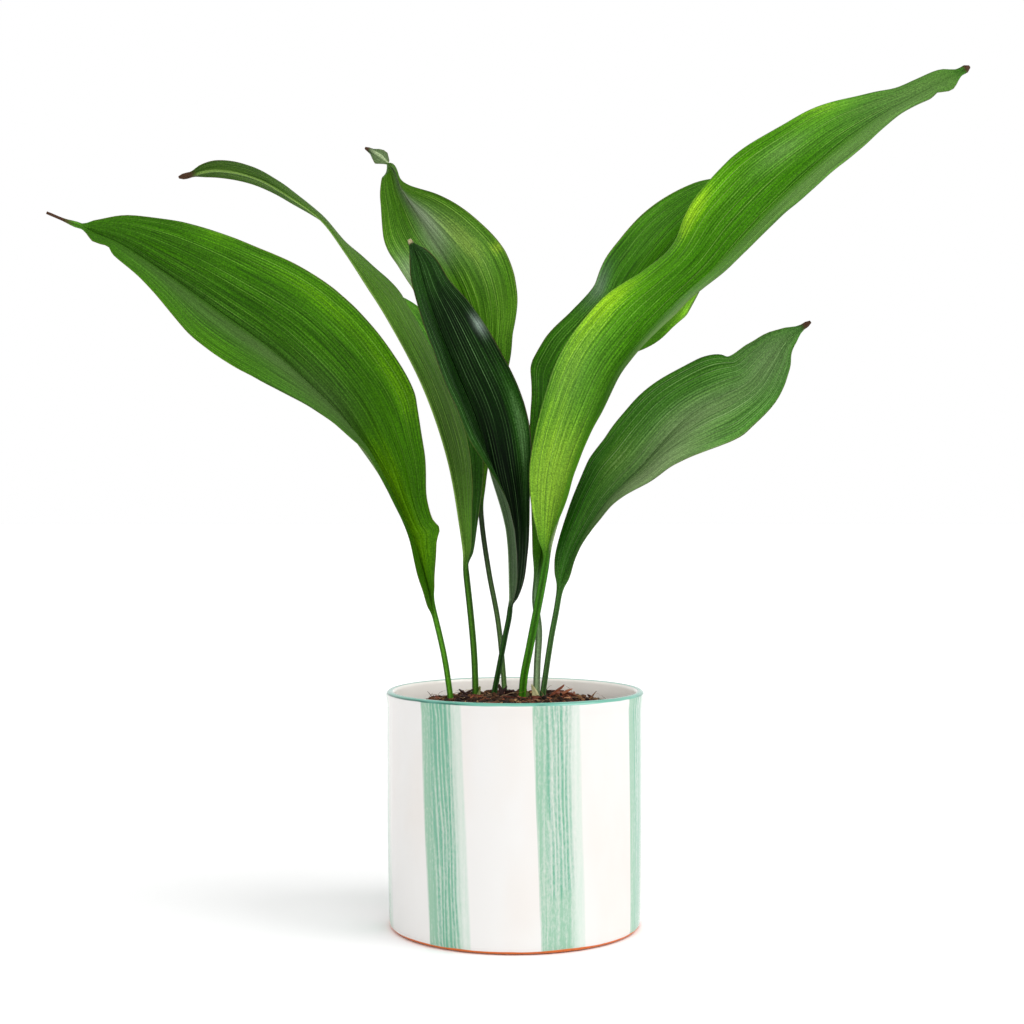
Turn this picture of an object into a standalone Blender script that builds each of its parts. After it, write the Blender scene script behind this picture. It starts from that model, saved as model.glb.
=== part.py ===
"""Potted cast iron plant (Aspidistra elatior), seven leaves on one rhizome in a striped glazed pot.

Frame: metres, +Z up, origin at the centre of the pot's flat base. The plant's broad front faces -Y.
Lengths below are in millimetres and become metres through MM.
"""

import math

import bmesh
import bpy
import numpy as np
from mathutils import Matrix, Vector

MM = 0.001
CLEARANCE = 0.3  # between pieces that rest on or run through each other
WELD = 0.00005  # metres, for joining the loose caps of a tube

# pot: a straight-sided cylinder, drawn in slightly at the foot, with a half-round lip
POT_HEIGHT = 136.4
LIP_OUTER_RADIUS = 75.0
LIP_THICKNESS = 4.8
WALL_OUTER_RADIUS = 74.2
FOOT_OUTER_RADIUS = 73.1
FOOT_EDGE_RADIUS = 2.2
INNER_RADIUS = 69.3
FLOOR_THICKNESS = 8.0
FLOOR_FILLET = 9.0
TURN_STEPS = 60

# potting mix: (radius, height) of its mounded top, from the middle to the wall
MOUND = ((0, 132.0), (18, 131.9), (34, 131.2), (48, 129.0), (60, 125.6), (INNER_RADIUS - CLEARANCE, 123.4))

# rhizome: creeping stems just under the surface, as (x, y, z, radius)
RHIZOME_MAIN = ((-50, -3, 110, 3.0), (-37, 2, 112, 5.4), (-23, 12, 112, 5.6), (-13, 23, 112, 5.6),
                (-5, 34, 112, 5.2), (3, 44, 110, 2.8))
RHIZOME_BRANCH = ((-23, 12, 112, 4.6), (-9, 5, 111, 5.0), (5, 1, 112, 5.6), (14, 0, 112, 5.6),
                  (27, 4, 110, 2.8))
ROOT_RADIUS = 1.3
ROOT_TOP = 110
ROOT_DEPTH = 52
ROOT_STEPS = 4
ROOT_REACH = (9, 12, 15)  # outwards over its depth, taken in turn
ROOT_SWING = 0.5  # radians off the outward heading, to either side in turn
TUBE_SPACING = 9.0
ROOT_STARTS = ((-38, 2), (-23, 12), (-8, 31), (-7, 4), (6, 1), (20, 1))

# each leaf, from the rhizome to its tip: the middle vein's place, the half width, the roll of the upper
# side about the vein (0 faces -Y, 90 faces right) and the rise of each half from flat, in degrees
LEAVES = {
    "leaf_low_left": (
        (-36, 2, 118.2, 1.7, 0, 50), (-41, 0, 154, 1.7, 0, 50), (-47.5, -3, 183, 2.6, 0, 50),
        (-51.3, -6, 199, 6.5, 8, 50), (-58, -10, 221, 14, 33, 50), (-69, -14.5, 245, 21.5, 37, 54),
        (-77.5, -18, 261, 30.5, 40, 52), (-90, -22, 279, 41.5, 46, 48), (-102, -27, 296.5, 46.5, 44, 43),
        (-133, -35, 328, 50, 39, 32), (-166.5, -43, 353, 43, 35, 27), (-201, -51, 377, 29, 37, 33),
        (-218, -54, 388, 18.5, 38, 28), (-230, -56, 393, 10, 39, 27), (-239, -57.5, 397, 3, 40, 25),
        (-246, -58.5, 399.5, 1.1, 40, 20), (-257, -60, 404, 0.8, 40, 20)),
    "leaf_back_left": (
        (-23, 12, 118, 2, 80, 45), (-24, 13, 155, 2, 80, 45), (-28.5, 15, 201, 2.2, 80, 45),
        (-31.5, 17, 225, 10.5, 82, 45), (-40, 22, 271, 24, 76, 50), (-55, 27, 315, 30, 78, 41),
        (-77, 32, 357, 30.5, 82, 36), (-89.5, 36, 377, 22, 92, 25), (-103, 41, 398, 18, 95, 5),
        (-118, 45, 418, 15, 93, 3), (-136.5, 50, 432, 13.5, 100, 3), (-159, 54, 445, 13.5, 105, 4),
        (-183, 57, 450.5, 10, 112, 5), (-208, 60, 447, 0.8, 115, 5)),
    "leaf_back_centre": (
        (-5, 34, 117.8, 1.6, 0, 45), (-10, 39, 172, 1.6, 0, 45), (-15.8, 43.5, 203, 1.7, 0, 45),
        (-20.3, 49, 234, 1.8, 0, 45), (-23, 60, 276, 12, 0, 45), (-23, 76, 316, 26, -5, 42),
        (-23, 85, 338, 35, -8, 41), (-28, 94, 365, 37.5, 3, 33), (-36, 103, 387, 38, 10, 30),
        (-47, 110, 407, 34.5, 2, 30), (-60, 117, 428, 29, -17, 34), (-72, 124, 449, 18, -34, 52),
        (-80, 130, 467, 9, -50, 40), (-84, 131, 471, 8, -100, 24), (-88, 132, 475, 7, -150, 15),
        (-99, 134, 481, 0.8, -160, 10)),
    "leaf_front_centre": (
        (-15, 24, 118.3, 1.7, 60, 35), (-6, 14, 165, 1.7, 65, 35), (-3, 10, 181, 2, 70, 35),
        (-3, 7, 198, 11, 74, 36), (-5, -1, 230, 17.5, 70, 35), (-14, -12, 262, 26, 54, 42),
        (-22, -22, 292, 30, 43, 33), (-33, -34, 319, 28, 40, 33), (-44, -46, 347, 22, 41, 29),
        (-49, -53, 362, 15, 38, 25), (-53, -58, 377, 9.5, 32, 22), (-58, -62, 389, 1, 32, 20)),
    "leaf_tall_right": (
        (4, 1, 118.5, 2.3, -40, 50), (5, -2, 142, 2.3, -40, 50), (8.3, -5, 160, 2.3, -40, 50),
        (13.7, -10, 188, 2.4, -45, 50), (19, -15, 215, 5, -50, 50), (26, -20, 241, 18, -42, 46),
        (34, -26, 267, 27, -50, 38), (44.5, -32, 292, 32, -50, 38), (56, -38, 316, 34, -48, 38),
        (71.5, -44, 336, 35, -52, 34), (89, -49, 355, 36, -62, 21), (108, -54, 372, 36, -60, 22),
        (125, -58, 391, 37.5, -50, 29), (143, -61, 410, 37.5, -47, 29), (161, -64, 427, 32.5, -46, 26),
        (180, -66, 443, 27, -45, 22), (201, -68, 457, 16.5, -48, 18), (212, -69, 463, 11.5, -45, 14),
        (223, -70, 469, 10, -41, 8), (233, -71, 474, 8.5, -40, 8), (240, -71.5, 477.5, 5, -40, 8),
        (246, -72, 481, 0.8, -40, 10)),
    "leaf_back_right": (
        (12, -4, 118, 2, 0, 50), (13, 1, 151, 2, 0, 50), (14, 5, 170, 2, 0, 50),
        (12, 9, 190, 2.4, 0, 50), (15, 11, 211, 6, -10, 45), (21, 17, 247, 13, -25, 45),
        (30, 29, 295, 29, -8, 47), (34.5, 34, 309.5, 36.5, -6, 42), (40, 38.5, 323.5, 37.5, -3, 43),
        (50, 46, 341, 32.5, -2, 43), (63, 53, 358, 35, 6, 42), (75, 62, 379, 36.5, 17, 30),
        (98, 78, 409, 31, 14, 28), (121, 90, 435, 19, 15, 28), (143, 98, 455, 0.8, 15, 28)),
    "leaf_low_right": (
        (14, 4, 117.3, 1.7, -20, 30), (21, 3, 165, 1.7, -20, 30), (24, 2, 181, 2, -20, 30),
        (27, 0, 197, 4, -20, 30), (33, -2, 213, 11, -50, 30), (49.5, -6, 241, 21, -56, 28),
        (60, -8.5, 253, 27, -53, 29), (72, -11, 265, 29, -46, 27), (82.5, -13, 277.5, 29.5, -41, 23),
        (93, -15, 289, 29.5, -33, 15), (106, -17, 299, 29, -28, 5), (120, -19, 306, 27.5, -22, 5),
        (133.5, -21, 313.5, 21, -20, 5), (144, -23, 326.5, 15.5, -20, 5), (149.5, -24, 334, 11, -20, 5),
        (155, -25, 339, 6.8, -20, 5), (168, -26, 348, 0.8, -20, 5)),
}
RING_SPACING = 13.0  # along a leaf
UPPER_POINTS = (-1, -0.62, -0.25, 0, 0.25, 0.62, 1)  # across a leaf, as parts of its half width
FLATTENING = 30.0  # degrees by which each half is flatter at its margin than at the vein
BLADE_THICKNESS = 0.6
VEIN_DEPTH = 1.0  # extra thickness below the middle vein
BORE_TOP = 140.0  # the stalks' bores are cut up to this height
BORE_OVERRUN = 0.2  # how far a bore runs on past a stalk's foot, as a part of its length

# bark chips: place on the mound, heading in degrees, and size
BARK_CHIPS = {
    "bark_chip_right": ((28, 7), 25, (13, 5, 2.2)),
    "bark_chip_left": ((-29, -8), -50, (9, 4, 1.8)),
    "bark_chip_middle": ((-2, 11), 70, (8, 5, 2.6)),
    "bark_chip_back": ((24, 36), 140, (11, 5, 2.0)),
}
CHIP_SEAT = 0.39  # between a chip and the mix under it
CHIP_THIN_END = (0.45, 0.6)  # width and thickness of the thin end, as parts of the thick end's
CHIP_BEVEL = 0.18  # as a part of the thickness

COLOURS = {
    "glazed clay": ((0.93, 0.92, 0.89), 0.22),
    "potting mix": ((0.09, 0.045, 0.025), 0.95),
    "rhizome": ((0.42, 0.30, 0.16), 0.8),
    "leaf": ((0.06, 0.22, 0.02), 0.42),
    "bark": ((0.20, 0.08, 0.035), 0.9),
}


def clear_scene():
    """Remove every object that the start-up file holds."""
    for existing in list(bpy.data.objects):
        bpy.data.objects.remove(existing, do_unlink=True)


def new_collection(name):
    """A collection linked to the scene."""
    collection = bpy.data.collections.new(name)
    bpy.context.scene.collection.children.link(collection)
    return collection


def material(name):
    """The Principled material of that name, made once."""
    found = bpy.data.materials.get(name)
    if found:
        return found
    colour, roughness = COLOURS[name]
    made = bpy.data.materials.new(name)
    made.use_nodes = True
    shader = made.node_tree.nodes["Principled BSDF"]
    shader.inputs["Base Color"].default_value = (*colour, 1)
    shader.inputs["Roughness"].default_value = roughness
    shader.inputs["Metallic"].default_value = 0
    return made


def add_mesh(name, mesh, collection, material_name=None):
    """An object for a mesh, shaded smooth with its sharp edges kept."""
    mesh.shade_smooth()
    mesh.set_sharp_from_angle(angle=math.radians(40))
    if material_name:
        mesh.materials.append(material(material_name))
    made = bpy.data.objects.new(name, mesh)
    collection.objects.link(made)
    return made


def mark_cutter(cutter):
    """Keep a cutter out of the model."""
    cutter.hide_render = True
    cutter.display_type = "WIRE"
    return cutter


def arc(centre, radius, start, end, steps):
    """Points along an arc, angles in degrees from +X."""
    angles = np.radians(np.linspace(start, end, steps + 1))
    return [(centre[0] + radius * math.cos(a), centre[1] + radius * math.sin(a)) for a in angles]


def turned(name, profile, collection, material_name):
    """A solid turned about +Z from an (r, z) profile in mm that starts and ends on the axis."""
    mesh = bpy.data.meshes.new(name)
    points = [(r * MM, 0, z * MM) for r, z in profile]
    mesh.from_pydata(points, [(i, i + 1) for i in range(len(points) - 1)], [])
    made = add_mesh(name, mesh, collection, material_name)
    screw = made.modifiers.new("turn", "SCREW")
    screw.axis = "Z"
    screw.steps = TURN_STEPS
    screw.render_steps = TURN_STEPS
    screw.use_merge_vertices = True
    screw.merge_threshold = WELD
    screw.use_smooth_shade = True
    return made


def pot_profile():
    """From the middle of the inside floor, up the inner wall, over the lip and down to the base."""
    fillet = arc((INNER_RADIUS - FLOOR_FILLET, FLOOR_THICKNESS + FLOOR_FILLET), FLOOR_FILLET, -90, 0, 4)
    lip_radius = LIP_THICKNESS / 2
    lip = arc((LIP_OUTER_RADIUS - lip_radius, POT_HEIGHT - lip_radius), lip_radius, 180, 0, 6)
    outside = [(WALL_OUTER_RADIUS + 0.1, POT_HEIGHT - 9), (WALL_OUTER_RADIUS, POT_HEIGHT / 2),
               ((WALL_OUTER_RADIUS + FOOT_OUTER_RADIUS) / 2, POT_HEIGHT / 5)]
    foot = arc((FOOT_OUTER_RADIUS - FOOT_EDGE_RADIUS, FOOT_EDGE_RADIUS), FOOT_EDGE_RADIUS, 0, -90, 3)
    return [(0, FLOOR_THICKNESS)] + fillet + lip + outside + foot + [(0, 0)]


def mix_profile():
    """From the top of the mound, down the wall to the middle of the floor."""
    centre = (INNER_RADIUS - FLOOR_FILLET, FLOOR_THICKNESS + FLOOR_FILLET)
    fillet = arc(centre, FLOOR_FILLET - CLEARANCE, 0, -90, 4)
    return list(MOUND) + fillet + [(0, FLOOR_THICKNESS + CLEARANCE)]


def spline(rows, spacing):
    """Rows read along a centripetal Catmull-Rom curve through the given ones, about `spacing` apart."""
    given = np.array(rows, dtype=float)
    padded = np.vstack([2 * given[0] - given[1], given, 2 * given[-1] - given[-2]])
    read = []
    for p0, p1, p2, p3 in zip(padded, padded[1:], padded[2:], padded[3:]):
        spans = [max(np.linalg.norm((b - a)[:3]), 1e-6) ** 0.5 for a, b in ((p0, p1), (p1, p2), (p2, p3))]
        t1 = spans[0]
        t2 = t1 + spans[1]
        t3 = t2 + spans[2]
        count = max(2, round(np.linalg.norm((p2 - p1)[:3]) / spacing))
        t = np.linspace(t1, t2, count, endpoint=False)[:, None]
        a1 = p0 + (p1 - p0) * t / t1
        a2 = p1 + (p2 - p1) * (t - t1) / (t2 - t1)
        a3 = p2 + (p3 - p2) * (t - t2) / (t3 - t2)
        b1 = a1 + (a2 - a1) * t / t2
        b2 = a2 + (a3 - a2) * (t - t1) / (t3 - t1)
        reading = b1 + (b2 - b1) * (t - t1) / (t2 - t1)
        reading[:, 3] = reading[:, 3].clip(min(p1[3], p2[3]), max(p1[3], p2[3]))
        read.append(reading)
    return np.vstack(read + [given[-1:]])


def frames(spine):
    """Unit vectors along a spine, across it to the right, and square to both towards -Y."""
    lengths = np.concatenate([[0], np.cumsum(np.linalg.norm(np.diff(spine, axis=0), axis=1))])
    along = np.gradient(spine, lengths, axis=0)
    along /= np.linalg.norm(along, axis=1)[:, None]
    across = np.cross(along, (0.0, -1.0, 0.0))
    across /= np.linalg.norm(across, axis=1)[:, None]
    return along, across, np.cross(across, along)


def bowed(part, fold):
    """How far across and up a half blade has gone at `part` of its half width, for its mean rise."""
    bend = -math.radians(FLATTENING)
    near = fold - bend / 2
    far = near + bend * part
    return (math.sin(far) - math.sin(near)) / bend, (math.cos(near) - math.cos(far)) / bend, far


def section_point(part, is_upper, half_width, stalk, fold):
    """One point of a leaf's cross-section, as (to the right, up), between a round stalk and a blade."""
    angle = math.pi / 2 * (1 - part) * (1 if is_upper else -1)
    round_point = np.array([stalk * math.cos(angle), stalk * math.sin(angle)])
    across, up, slope = bowed(abs(part), fold)
    side = 1 if part >= 0 else -1
    flat_point = half_width * np.array([side * across, up])
    thickness = BLADE_THICKNESS / 2 * math.sqrt(1 - part * part)
    if part == 0:
        flat_point[1] += thickness if is_upper else -(thickness + VEIN_DEPTH)
    else:
        offset = thickness if is_upper else -thickness
        flat_point += offset * np.array([-side * math.sin(slope), math.cos(slope)])
    share = min(max((half_width - stalk) / (2.5 * stalk), 0), 1)
    share = share * share * (3 - 2 * share)
    return round_point + (flat_point - round_point) * share


def leaf_sections(stations, widen=0.0):
    """The rings of points that a leaf is lofted through, in metres."""
    rows = spline(stations, RING_SPACING)
    along, across, toward = frames(rows[:, :3])
    stalk = stations[0][3]
    rings = []
    for row, ahead, right, front in zip(rows, along, across, toward):
        roll = math.radians(row[4])
        normal = math.cos(roll) * front + math.sin(roll) * right
        side = np.cross(ahead, normal)
        half_width = max(row[3], 0.3)
        thin = min(stalk, half_width) + widen
        ring = [(part, True) for part in UPPER_POINTS]
        ring += [(part, False) for part in reversed(UPPER_POINTS[1:-1])]
        points = [section_point(part, is_upper, half_width, thin, math.radians(row[5]))
                  for part, is_upper in ring]
        rings.append([(row[:3] + x * side + y * normal) * MM for x, y in points])
    return rings


def loft(name, rings):
    """A closed mesh through rings of a leaf, with a fan of faces over both ends.

    The upper and lower faces are split along the same diagonals, so the two sides of a thin, twisted
    blade can't cut through each other.
    """
    build = bmesh.new()
    levels = [[build.verts.new(point) for point in ring] for ring in rings]
    count = len(levels[0])
    for low, high in zip(levels, levels[1:]):
        for i in range(count):
            j = (i + 1) % count
            is_upper = i < len(UPPER_POINTS) - 1
            if is_upper:
                corners = ((low[i], high[i], high[j]), (low[i], high[j], low[j]))
            else:
                corners = ((low[i], high[i], low[j]), (high[i], high[j], low[j]))
            for triangle in corners:
                build.faces.new(triangle)
    caps = [build.faces.new(levels[0]), build.faces.new(list(reversed(levels[-1])))]
    bmesh.ops.poke(build, faces=caps)
    bmesh.ops.recalc_face_normals(build, faces=build.faces)
    mesh = bpy.data.meshes.new(name)
    build.to_mesh(mesh)
    build.free()
    return mesh


def lengthened(points, extra):
    """The same run of (x, y, z, radius) points with each end carried on by `extra`."""
    for end, inner in ((0, 1), (-1, -2)):
        outward = points[end, :3] - points[inner, :3]
        points[end, :3] += outward / np.linalg.norm(outward) * extra
    return points


def tube(name, rows, widen, collection):
    """A tapering tube through (x, y, z, radius) rows, as one closed mesh."""
    curve = bpy.data.curves.new(name, "CURVE")
    curve.dimensions = "3D"
    curve.bevel_depth = MM
    curve.bevel_resolution = 2
    curve.use_fill_caps = True
    points = lengthened(spline(rows, TUBE_SPACING), widen)
    run = curve.splines.new("POLY")
    run.points.add(len(points) - 1)
    for target, (x, y, z, radius) in zip(run.points, points):
        target.co = (x * MM, y * MM, z * MM, 1)
        target.radius = radius + widen
    drawn = bpy.data.objects.new(name + "_curve", curve)
    collection.objects.link(drawn)
    evaluated = drawn.evaluated_get(bpy.context.evaluated_depsgraph_get())
    mesh = bpy.data.meshes.new_from_object(evaluated)
    bpy.data.objects.remove(drawn, do_unlink=True)
    build = bmesh.new()
    build.from_mesh(mesh)
    bmesh.ops.remove_doubles(build, verts=build.verts, dist=WELD)
    bmesh.ops.recalc_face_normals(build, faces=build.faces)
    build.to_mesh(mesh)
    build.free()
    return add_mesh(name, mesh, collection)


def join_or_cut(target, tool, operation):
    """A Boolean modifier on target with the exact solver."""
    boolean = target.modifiers.new(tool.name, "BOOLEAN")
    boolean.operation = operation
    boolean.object = tool
    boolean.solver = "EXACT"


def root_rows(index, start):
    """A root that dives from the rhizome and spreads outwards as it goes down."""
    x, y = start
    heading = math.atan2(y, x) + ROOT_SWING * (-1) ** index
    reach = ROOT_REACH[index % len(ROOT_REACH)]
    rows = []
    for step in range(ROOT_STEPS):
        down = step / (ROOT_STEPS - 1)
        out = reach * down ** 1.5
        rows.append((x + out * math.cos(heading), y + out * math.sin(heading),
                     ROOT_TOP - ROOT_DEPTH * down, ROOT_RADIUS * (1 - 0.5 * down)))
    return rows


def rhizome(name, widen, parts, tools):
    """The rhizome and its roots, joined in one body and widened for a cutter."""
    body = tube(name, RHIZOME_MAIN, widen, parts)
    pieces = [tube(name + "_branch", RHIZOME_BRANCH, widen, tools)]
    pieces += [tube(f"{name}_root_{i}", root_rows(i, start), widen, tools)
               for i, start in enumerate(ROOT_STARTS)]
    for piece in pieces:
        join_or_cut(body, mark_cutter(piece), "UNION")
    return body


def stalk_bore(name, stations, tools):
    """A cutter that clears a leaf's stalk from the rhizome to above the mix."""
    stalk = [row for row in stations if row[2] <= BORE_TOP]
    above = next(row for row in stations if row[2] > BORE_TOP)
    first = np.array(stalk[-1], dtype=float)
    share = (BORE_TOP - first[2]) / (above[2] - first[2])
    reach = first + (np.array(above) - first) * share
    below = first - (reach - first) * BORE_OVERRUN
    rings = leaf_sections([tuple(below), tuple(first), tuple(reach)], widen=CLEARANCE)
    return mark_cutter(add_mesh(name, loft(name, rings), tools))


def mound_height(radius):
    """The height of the mound and its slope at a radius."""
    radii, heights = zip(*MOUND)
    slope = (np.interp(radius + 1, radii, heights) - np.interp(radius - 1, radii, heights)) / 2
    return float(np.interp(radius, radii, heights)), float(slope)


def bark_chip(name, place, heading, size, collection):
    """A split chip, thinner at one end, lying on the slope of the mound."""
    length, width, thickness = (value * MM for value in size)
    build = bmesh.new()
    bmesh.ops.create_cube(build, size=1)
    bmesh.ops.scale(build, vec=(length, width, thickness), verts=build.verts)
    thin_end = [vertex for vertex in build.verts if vertex.co.x > 0]
    for vertex in thin_end:
        vertex.co.y *= CHIP_THIN_END[0]
        vertex.co.z = vertex.co.z * CHIP_THIN_END[1] - thickness * (1 - CHIP_THIN_END[1]) / 2
    mesh = bpy.data.meshes.new(name)
    build.to_mesh(mesh)
    build.free()
    chip = add_mesh(name, mesh, collection, "bark")
    bevel = chip.modifiers.new("worn edges", "BEVEL")
    bevel.width = thickness * CHIP_BEVEL
    bevel.segments = 1
    radius = math.hypot(*place)
    height, slope = mound_height(radius)
    outward = Vector((place[0], place[1], 0)).normalized()
    normal = Vector((-outward.x * slope, -outward.y * slope, 1)).normalized()
    turn = Vector((0, 0, 1)).rotation_difference(normal).to_matrix()
    chip.rotation_euler = (turn @ Matrix.Rotation(math.radians(heading), 3, "Z")).to_euler()
    seat = Vector((place[0] * MM, place[1] * MM, height * MM))
    chip.location = seat + normal * (thickness / 2 + CHIP_SEAT * MM)
    return chip


def main():
    """Build the pot, the mix, the rhizome, the leaves and the chips."""
    clear_scene()
    parts = new_collection("potted_cast_iron_plant")
    tools = new_collection("cutters")
    turned("pot", pot_profile(), parts, "glazed clay")
    mix = turned("potting_mix", mix_profile(), parts, "potting mix")
    root_stock = rhizome("rhizome", 0.0, parts, tools)
    root_stock.data.materials.append(material("rhizome"))
    cavity = mark_cutter(rhizome("rhizome_cavity", CLEARANCE, tools, tools))
    join_or_cut(mix, cavity, "DIFFERENCE")
    for name, stations in LEAVES.items():
        add_mesh(name, loft(name, leaf_sections(stations)), parts, "leaf")
        join_or_cut(mix, stalk_bore(name + "_bore", stations, tools), "DIFFERENCE")
    for name, (place, heading, size) in BARK_CHIPS.items():
        bark_chip(name, place, heading, size, parts)


main()
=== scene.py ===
"""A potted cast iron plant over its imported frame: ribbed leaves, a crumbly mix and a brushed, glazed pot.

Everything is in metres in the frame's own axes: +Z up, the plant's broad front facing -Y. Sizes that
come from a maker's ruler are written in millimetres and pass through MM.
"""

import logging
import math
from dataclasses import dataclass
from enum import Enum
from functools import partial
from typing import Callable, Sequence

import bpy
import numpy as np
from mathutils import Matrix, Vector, noise


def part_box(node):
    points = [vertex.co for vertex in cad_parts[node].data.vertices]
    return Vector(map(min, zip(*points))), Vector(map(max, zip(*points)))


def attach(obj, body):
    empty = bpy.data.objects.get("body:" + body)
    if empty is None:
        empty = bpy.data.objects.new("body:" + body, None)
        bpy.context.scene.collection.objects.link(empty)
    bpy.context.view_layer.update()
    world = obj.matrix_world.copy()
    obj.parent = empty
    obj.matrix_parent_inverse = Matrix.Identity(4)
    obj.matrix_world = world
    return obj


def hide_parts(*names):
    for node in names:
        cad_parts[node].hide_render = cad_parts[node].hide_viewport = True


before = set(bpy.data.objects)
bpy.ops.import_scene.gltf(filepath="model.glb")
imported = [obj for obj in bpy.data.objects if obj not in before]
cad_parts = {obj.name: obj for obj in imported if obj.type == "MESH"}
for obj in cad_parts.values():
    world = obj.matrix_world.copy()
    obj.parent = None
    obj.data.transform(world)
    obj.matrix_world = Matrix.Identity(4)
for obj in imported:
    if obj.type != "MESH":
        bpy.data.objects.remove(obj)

logging.basicConfig(level=logging.INFO, format="%(message)s")
log = logging.getLogger("potted_plant")

MM = 0.001
BODY = "root"
TONE = "crumb_tone"  # the attribute that picks a crumb's colour

Piece = bpy.types.Object
Socket = bpy.types.NodeSocket
Add = Callable[..., Socket]  # add_node, bound to one material's nodes


# ---------------------------------------------------------------- small tools


def linear(code: str) -> tuple[float, float, float, float]:
    """Turn an sRGB hex colour into a linear one.

    Args:
        code: six hex digits with a leading #.

    Returns:
        Linear red, green, blue and an alpha of 1.
    """
    values = [int(code[i:i + 2], 16) / 255 for i in (1, 3, 5)]
    return (*(v / 12.92 if v <= 0.04045 else ((v + 0.055) / 1.055) ** 2.4 for v in values), 1.0)


def wire(node: bpy.types.Node, inputs: dict) -> None:
    """Set some of a node's inputs.

    Args:
        node: the node.
        inputs: inputs by name or number, each a plain value or an output socket to link from.
    """
    for key, value in inputs.items():
        if isinstance(value, Socket):
            node.id_data.links.new(value, node.inputs[key])
        else:
            node.inputs[key].default_value = value


def add_node(tree: bpy.types.NodeTree, kind: str, inputs: dict | None = None, output: int | str = 0,
             **settings: object) -> Socket:
    """Add a shader node with its settings and links.

    Args:
        tree: the node tree to add to.
        kind: the node's type without the ShaderNode prefix.
        inputs: what goes into it, as `wire` takes it.
        output: the name or number of the output that is wanted.
        settings: the node's own settings by name.

    Returns:
        That output.
    """
    node = tree.nodes.new("ShaderNode" + kind)
    for name, value in settings.items():
        setattr(node, name, value)
    wire(node, inputs or {})
    return node.outputs[output]


def new_material(name: str) -> tuple[bpy.types.Material, bpy.types.Node, Add]:
    """Start a node material.

    Args:
        name: the real material and how its surface was made.

    Returns:
        The material, its shader, and add_node bound to its nodes.
    """
    made = bpy.data.materials.new(name)
    made.use_nodes = True
    return made, made.node_tree.nodes["Principled BSDF"], partial(add_node, made.node_tree)


def set_stops(ramp: Socket, stops: Sequence[tuple[float, str]]) -> None:
    """Give a colour ramp its stops.

    Args:
        ramp: the ramp's colour output.
        stops: at least two places from 0 to 1 and their sRGB hex colours, in order.
    """
    elements = ramp.node.color_ramp.elements
    for element, (place, code) in zip(elements, (stops[0], stops[-1])):
        element.position, element.color = place, linear(code)
    for place, code in stops[1:-1]:
        elements.new(place).color = linear(code)


def deselect() -> None:
    """Leave nothing selected, so that an operator touches only what is picked next."""
    if bpy.context.mode != "OBJECT":
        bpy.ops.object.mode_set(mode="OBJECT")
    bpy.ops.object.select_all(action="DESELECT")


def pick(piece: Piece) -> None:
    """Make one piece the only one selected, and active.

    Args:
        piece: any object.
    """
    deselect()
    piece.select_set(True)
    bpy.context.view_layer.objects.active = piece


def begin(name: str, primitive: Callable, **settings: object) -> Piece:
    """Start a piece from one of Blender's own shapes.

    Args:
        name: the new piece's name.
        primitive: the operator that adds the shape.
        settings: the operator's settings.

    Returns:
        The piece, selected and active.
    """
    deselect()
    primitive(**settings)
    piece = bpy.context.object
    piece.name = piece.data.name = name
    return piece


def in_edit(piece: Piece, *steps: tuple) -> None:
    """Run mesh operators on all of a piece in edit mode.

    Args:
        piece: the mesh object.
        steps: pairs of an operator and a dict of its settings.
    """
    pick(piece)
    bpy.ops.object.mode_set(mode="EDIT")
    bpy.ops.mesh.select_all(action="SELECT")
    for operator, settings in steps:
        operator(**settings)
    bpy.ops.object.mode_set(mode="OBJECT")


def points_of(piece: Piece) -> np.ndarray:
    """Read the places of a piece's vertices.

    Args:
        piece: the mesh object.

    Returns:
        x, y and z in metres, one row for each vertex.
    """
    places = np.empty(len(piece.data.vertices) * 3)
    piece.data.vertices.foreach_get("co", places)
    return places.reshape(-1, 3)


def place_points(piece: Piece, places: np.ndarray) -> None:
    """Move a piece's vertices to new places, one row each."""
    piece.data.vertices.foreach_set("co", np.asarray(places, dtype=float).ravel())
    piece.data.update()


def add_attribute(piece: Piece, name: str, values: np.ndarray) -> None:
    """Store a number or a vector for each vertex.

    Args:
        piece: the mesh object.
        name: the attribute's name.
        values: one row for each vertex, of one number or three.
    """
    is_vector = values.ndim == 2
    layer = piece.data.attributes.new(name, "FLOAT_VECTOR" if is_vector else "FLOAT", "POINT")
    layer.data.foreach_set("vector" if is_vector else "value", values.astype(np.float32).ravel())


def fit_in(piece: Piece, finish: bpy.types.Material, slot: str, *nodes: str, smooth: float) -> None:
    """Give a finished piece its looks and its place in the model.

    Args:
        piece: the mesh object, in place.
        finish: its material.
        slot: the record's material slot that the finish belongs to; not used.
        nodes: the frame's nodes that the piece stands for.
        smooth: the largest angle in degrees that is shaded smooth.
    """
    piece.data.materials.append(finish)
    pick(piece)
    bpy.ops.object.transform_apply(location=True, rotation=True, scale=True)
    bpy.ops.object.shade_smooth_by_angle(angle=math.radians(smooth))
    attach(piece, BODY)
    if nodes:
        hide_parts(*nodes)
    piece.data.calc_loop_triangles()
    log.info("%s: %d triangles", piece.name, len(piece.data.loop_triangles))


def smoothstep(low: float, high: float, value: np.ndarray) -> np.ndarray:
    """Rise smoothly from 0 at low to 1 at high."""
    share = np.clip((value - low) / (high - low), 0, 1)
    return share * share * (3 - 2 * share)


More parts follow.
